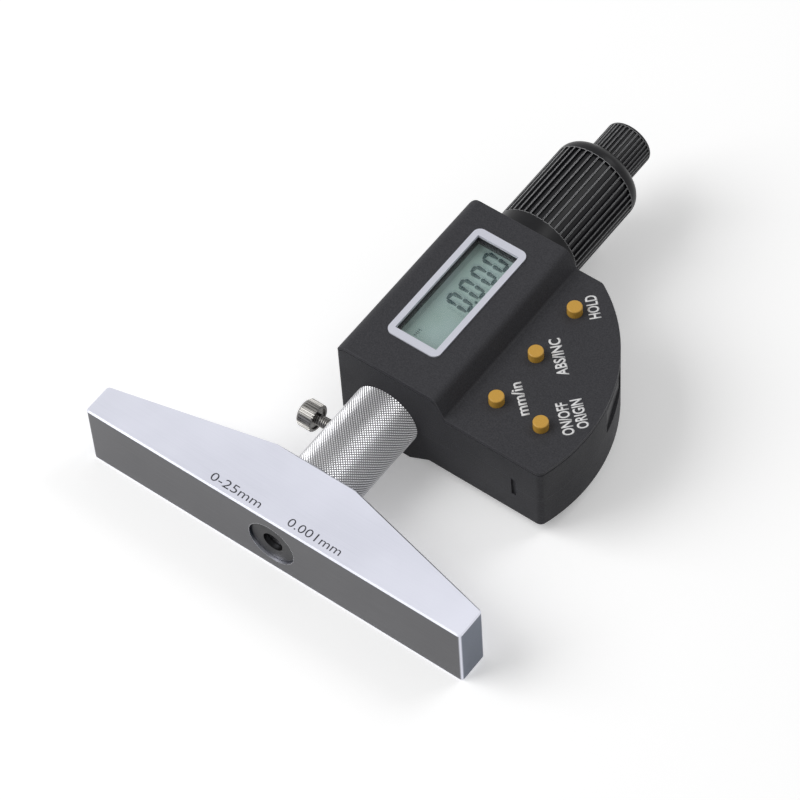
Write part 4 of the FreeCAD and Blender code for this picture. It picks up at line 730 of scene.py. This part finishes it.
def pale_floor():
    """A plain pale floor under the tilted part, with the part's soft shadow."""
    shape = bmesh.new()
    bmesh.ops.create_circle(shape, cap_ends=True, segments=96, radius=FLOOR_RADIUS)
    turn = Vector((0, 0, 1)).rotation_difference(FLOOR_UP).to_matrix().to_4x4()
    bmesh.ops.transform(shape, matrix=Matrix.Translation((0, 0, FLOOR_HEIGHT)) @ turn, verts=shape.verts[:])
    mesh = bpy.data.meshes.new("pale_floor")
    shape.to_mesh(mesh)
    shape.free()
    floor = bpy.data.objects.new("pale_floor", mesh)
    bpy.context.scene.collection.objects.link(floor)
    material, tree, shader = new_finish("floor_paper", specular=0.0)
    shader.inputs["Roughness"].default_value = 1.0
    paper = add(tree, "ShaderNodeTexNoise")
    paper.inputs["Scale"].default_value = 30.0
    place = add(tree, "ShaderNodeTexCoord")
    tree.links.new(place.outputs["Object"], paper.inputs["Vector"])
    dull = blend_colours(tree, paper.outputs["Fac"], (0.42, 0.42, 0.43), (0.45, 0.45, 0.46))
    seen = seen_directly(tree)
    tree.links.new(blend_colours(tree, seen, dull, (0.97, 0.97, 0.97)), shader.inputs["Base Color"])
    tree.links.new(blend_colours(tree, seen, (0.0, 0.0, 0.0), (1.0, 1.0, 1.0)), shader.inputs["Emission Color"])
    shader.inputs["Emission Strength"].default_value = FLOOR_LIFT
    # looked at from below, the floor lets the part's underside be seen
    clear = add(tree, "ShaderNodeBsdfTransparent")
    side = add(tree, "ShaderNodeNewGeometry")
    choice = add(tree, "ShaderNodeMixShader")
    tree.links.new(side.outputs["Backfacing"], choice.inputs[0])
    tree.links.new(shader.outputs[0], choice.inputs[1])
    tree.links.new(clear.outputs[0], choice.inputs[2])
    tree.links.new(choice.outputs[0], tree.nodes["Material Output"].inputs["Surface"])
    mesh.materials.append(material)


def studio_world():
    """An even pale surround: white where it is seen, softer where it lights the part."""
    world = bpy.data.worlds.new("studio")
    bpy.context.scene.world = world
    world.use_nodes = True
    tree = world.node_tree
    surround = tree.nodes["Background"]
    surround.inputs["Color"].default_value = (1.0, 1.0, 1.0, 1.0)
    strength = add(tree, "ShaderNodeMix", data_type="FLOAT")
    strength.inputs[2].default_value = 0.32
    strength.inputs[3].default_value = 1.0
    tree.links.new(seen_directly(tree), strength.inputs[0])
    tree.links.new(strength.outputs[0], surround.inputs["Strength"])


def softbox(name, place, target, size, power):
    """A large square lamp that looks at a point."""
    lamp = bpy.data.lights.new(name, "AREA")
    lamp.shape = "SQUARE"
    lamp.size = size
    lamp.energy = power
    holder = bpy.data.objects.new(name, lamp)
    bpy.context.scene.collection.objects.link(holder)
    holder.location = place
    holder.rotation_euler = (Vector(target) - Vector(place)).to_track_quat("-Z", "Y").to_euler()


def product_camera():
    """The camera, with its up kept square to the floor."""
    lens = bpy.data.cameras.new("product_camera")
    lens.lens = CAMERA_LENS
    lens.sensor_width = 36.0
    lens.clip_start = 0.05
    lens.clip_end = 10.0
    camera = bpy.data.objects.new("product_camera", lens)
    bpy.context.scene.collection.objects.link(camera)
    back = (CAMERA_PLACE - CAMERA_TARGET).normalized()
    right = FLOOR_UP.cross(back).normalized()
    up = back.cross(right)
    turn = Matrix((right, up, back)).transposed()
    camera.matrix_world = Matrix.Translation(CAMERA_PLACE) @ turn.to_4x4()
    bpy.context.scene.camera = camera


pale_floor()
studio_world()
softbox("key_softbox", (-0.6, -0.45, 0.8), (0.0, 0.05, 0.0), 0.8, 8.0)
softbox("fill_softbox", (0.3, 0.75, 0.8), (0.0, 0.05, 0.0), 0.4, 1.6)
product_camera()
bpy.context.scene.view_settings.view_transform = "Standard"
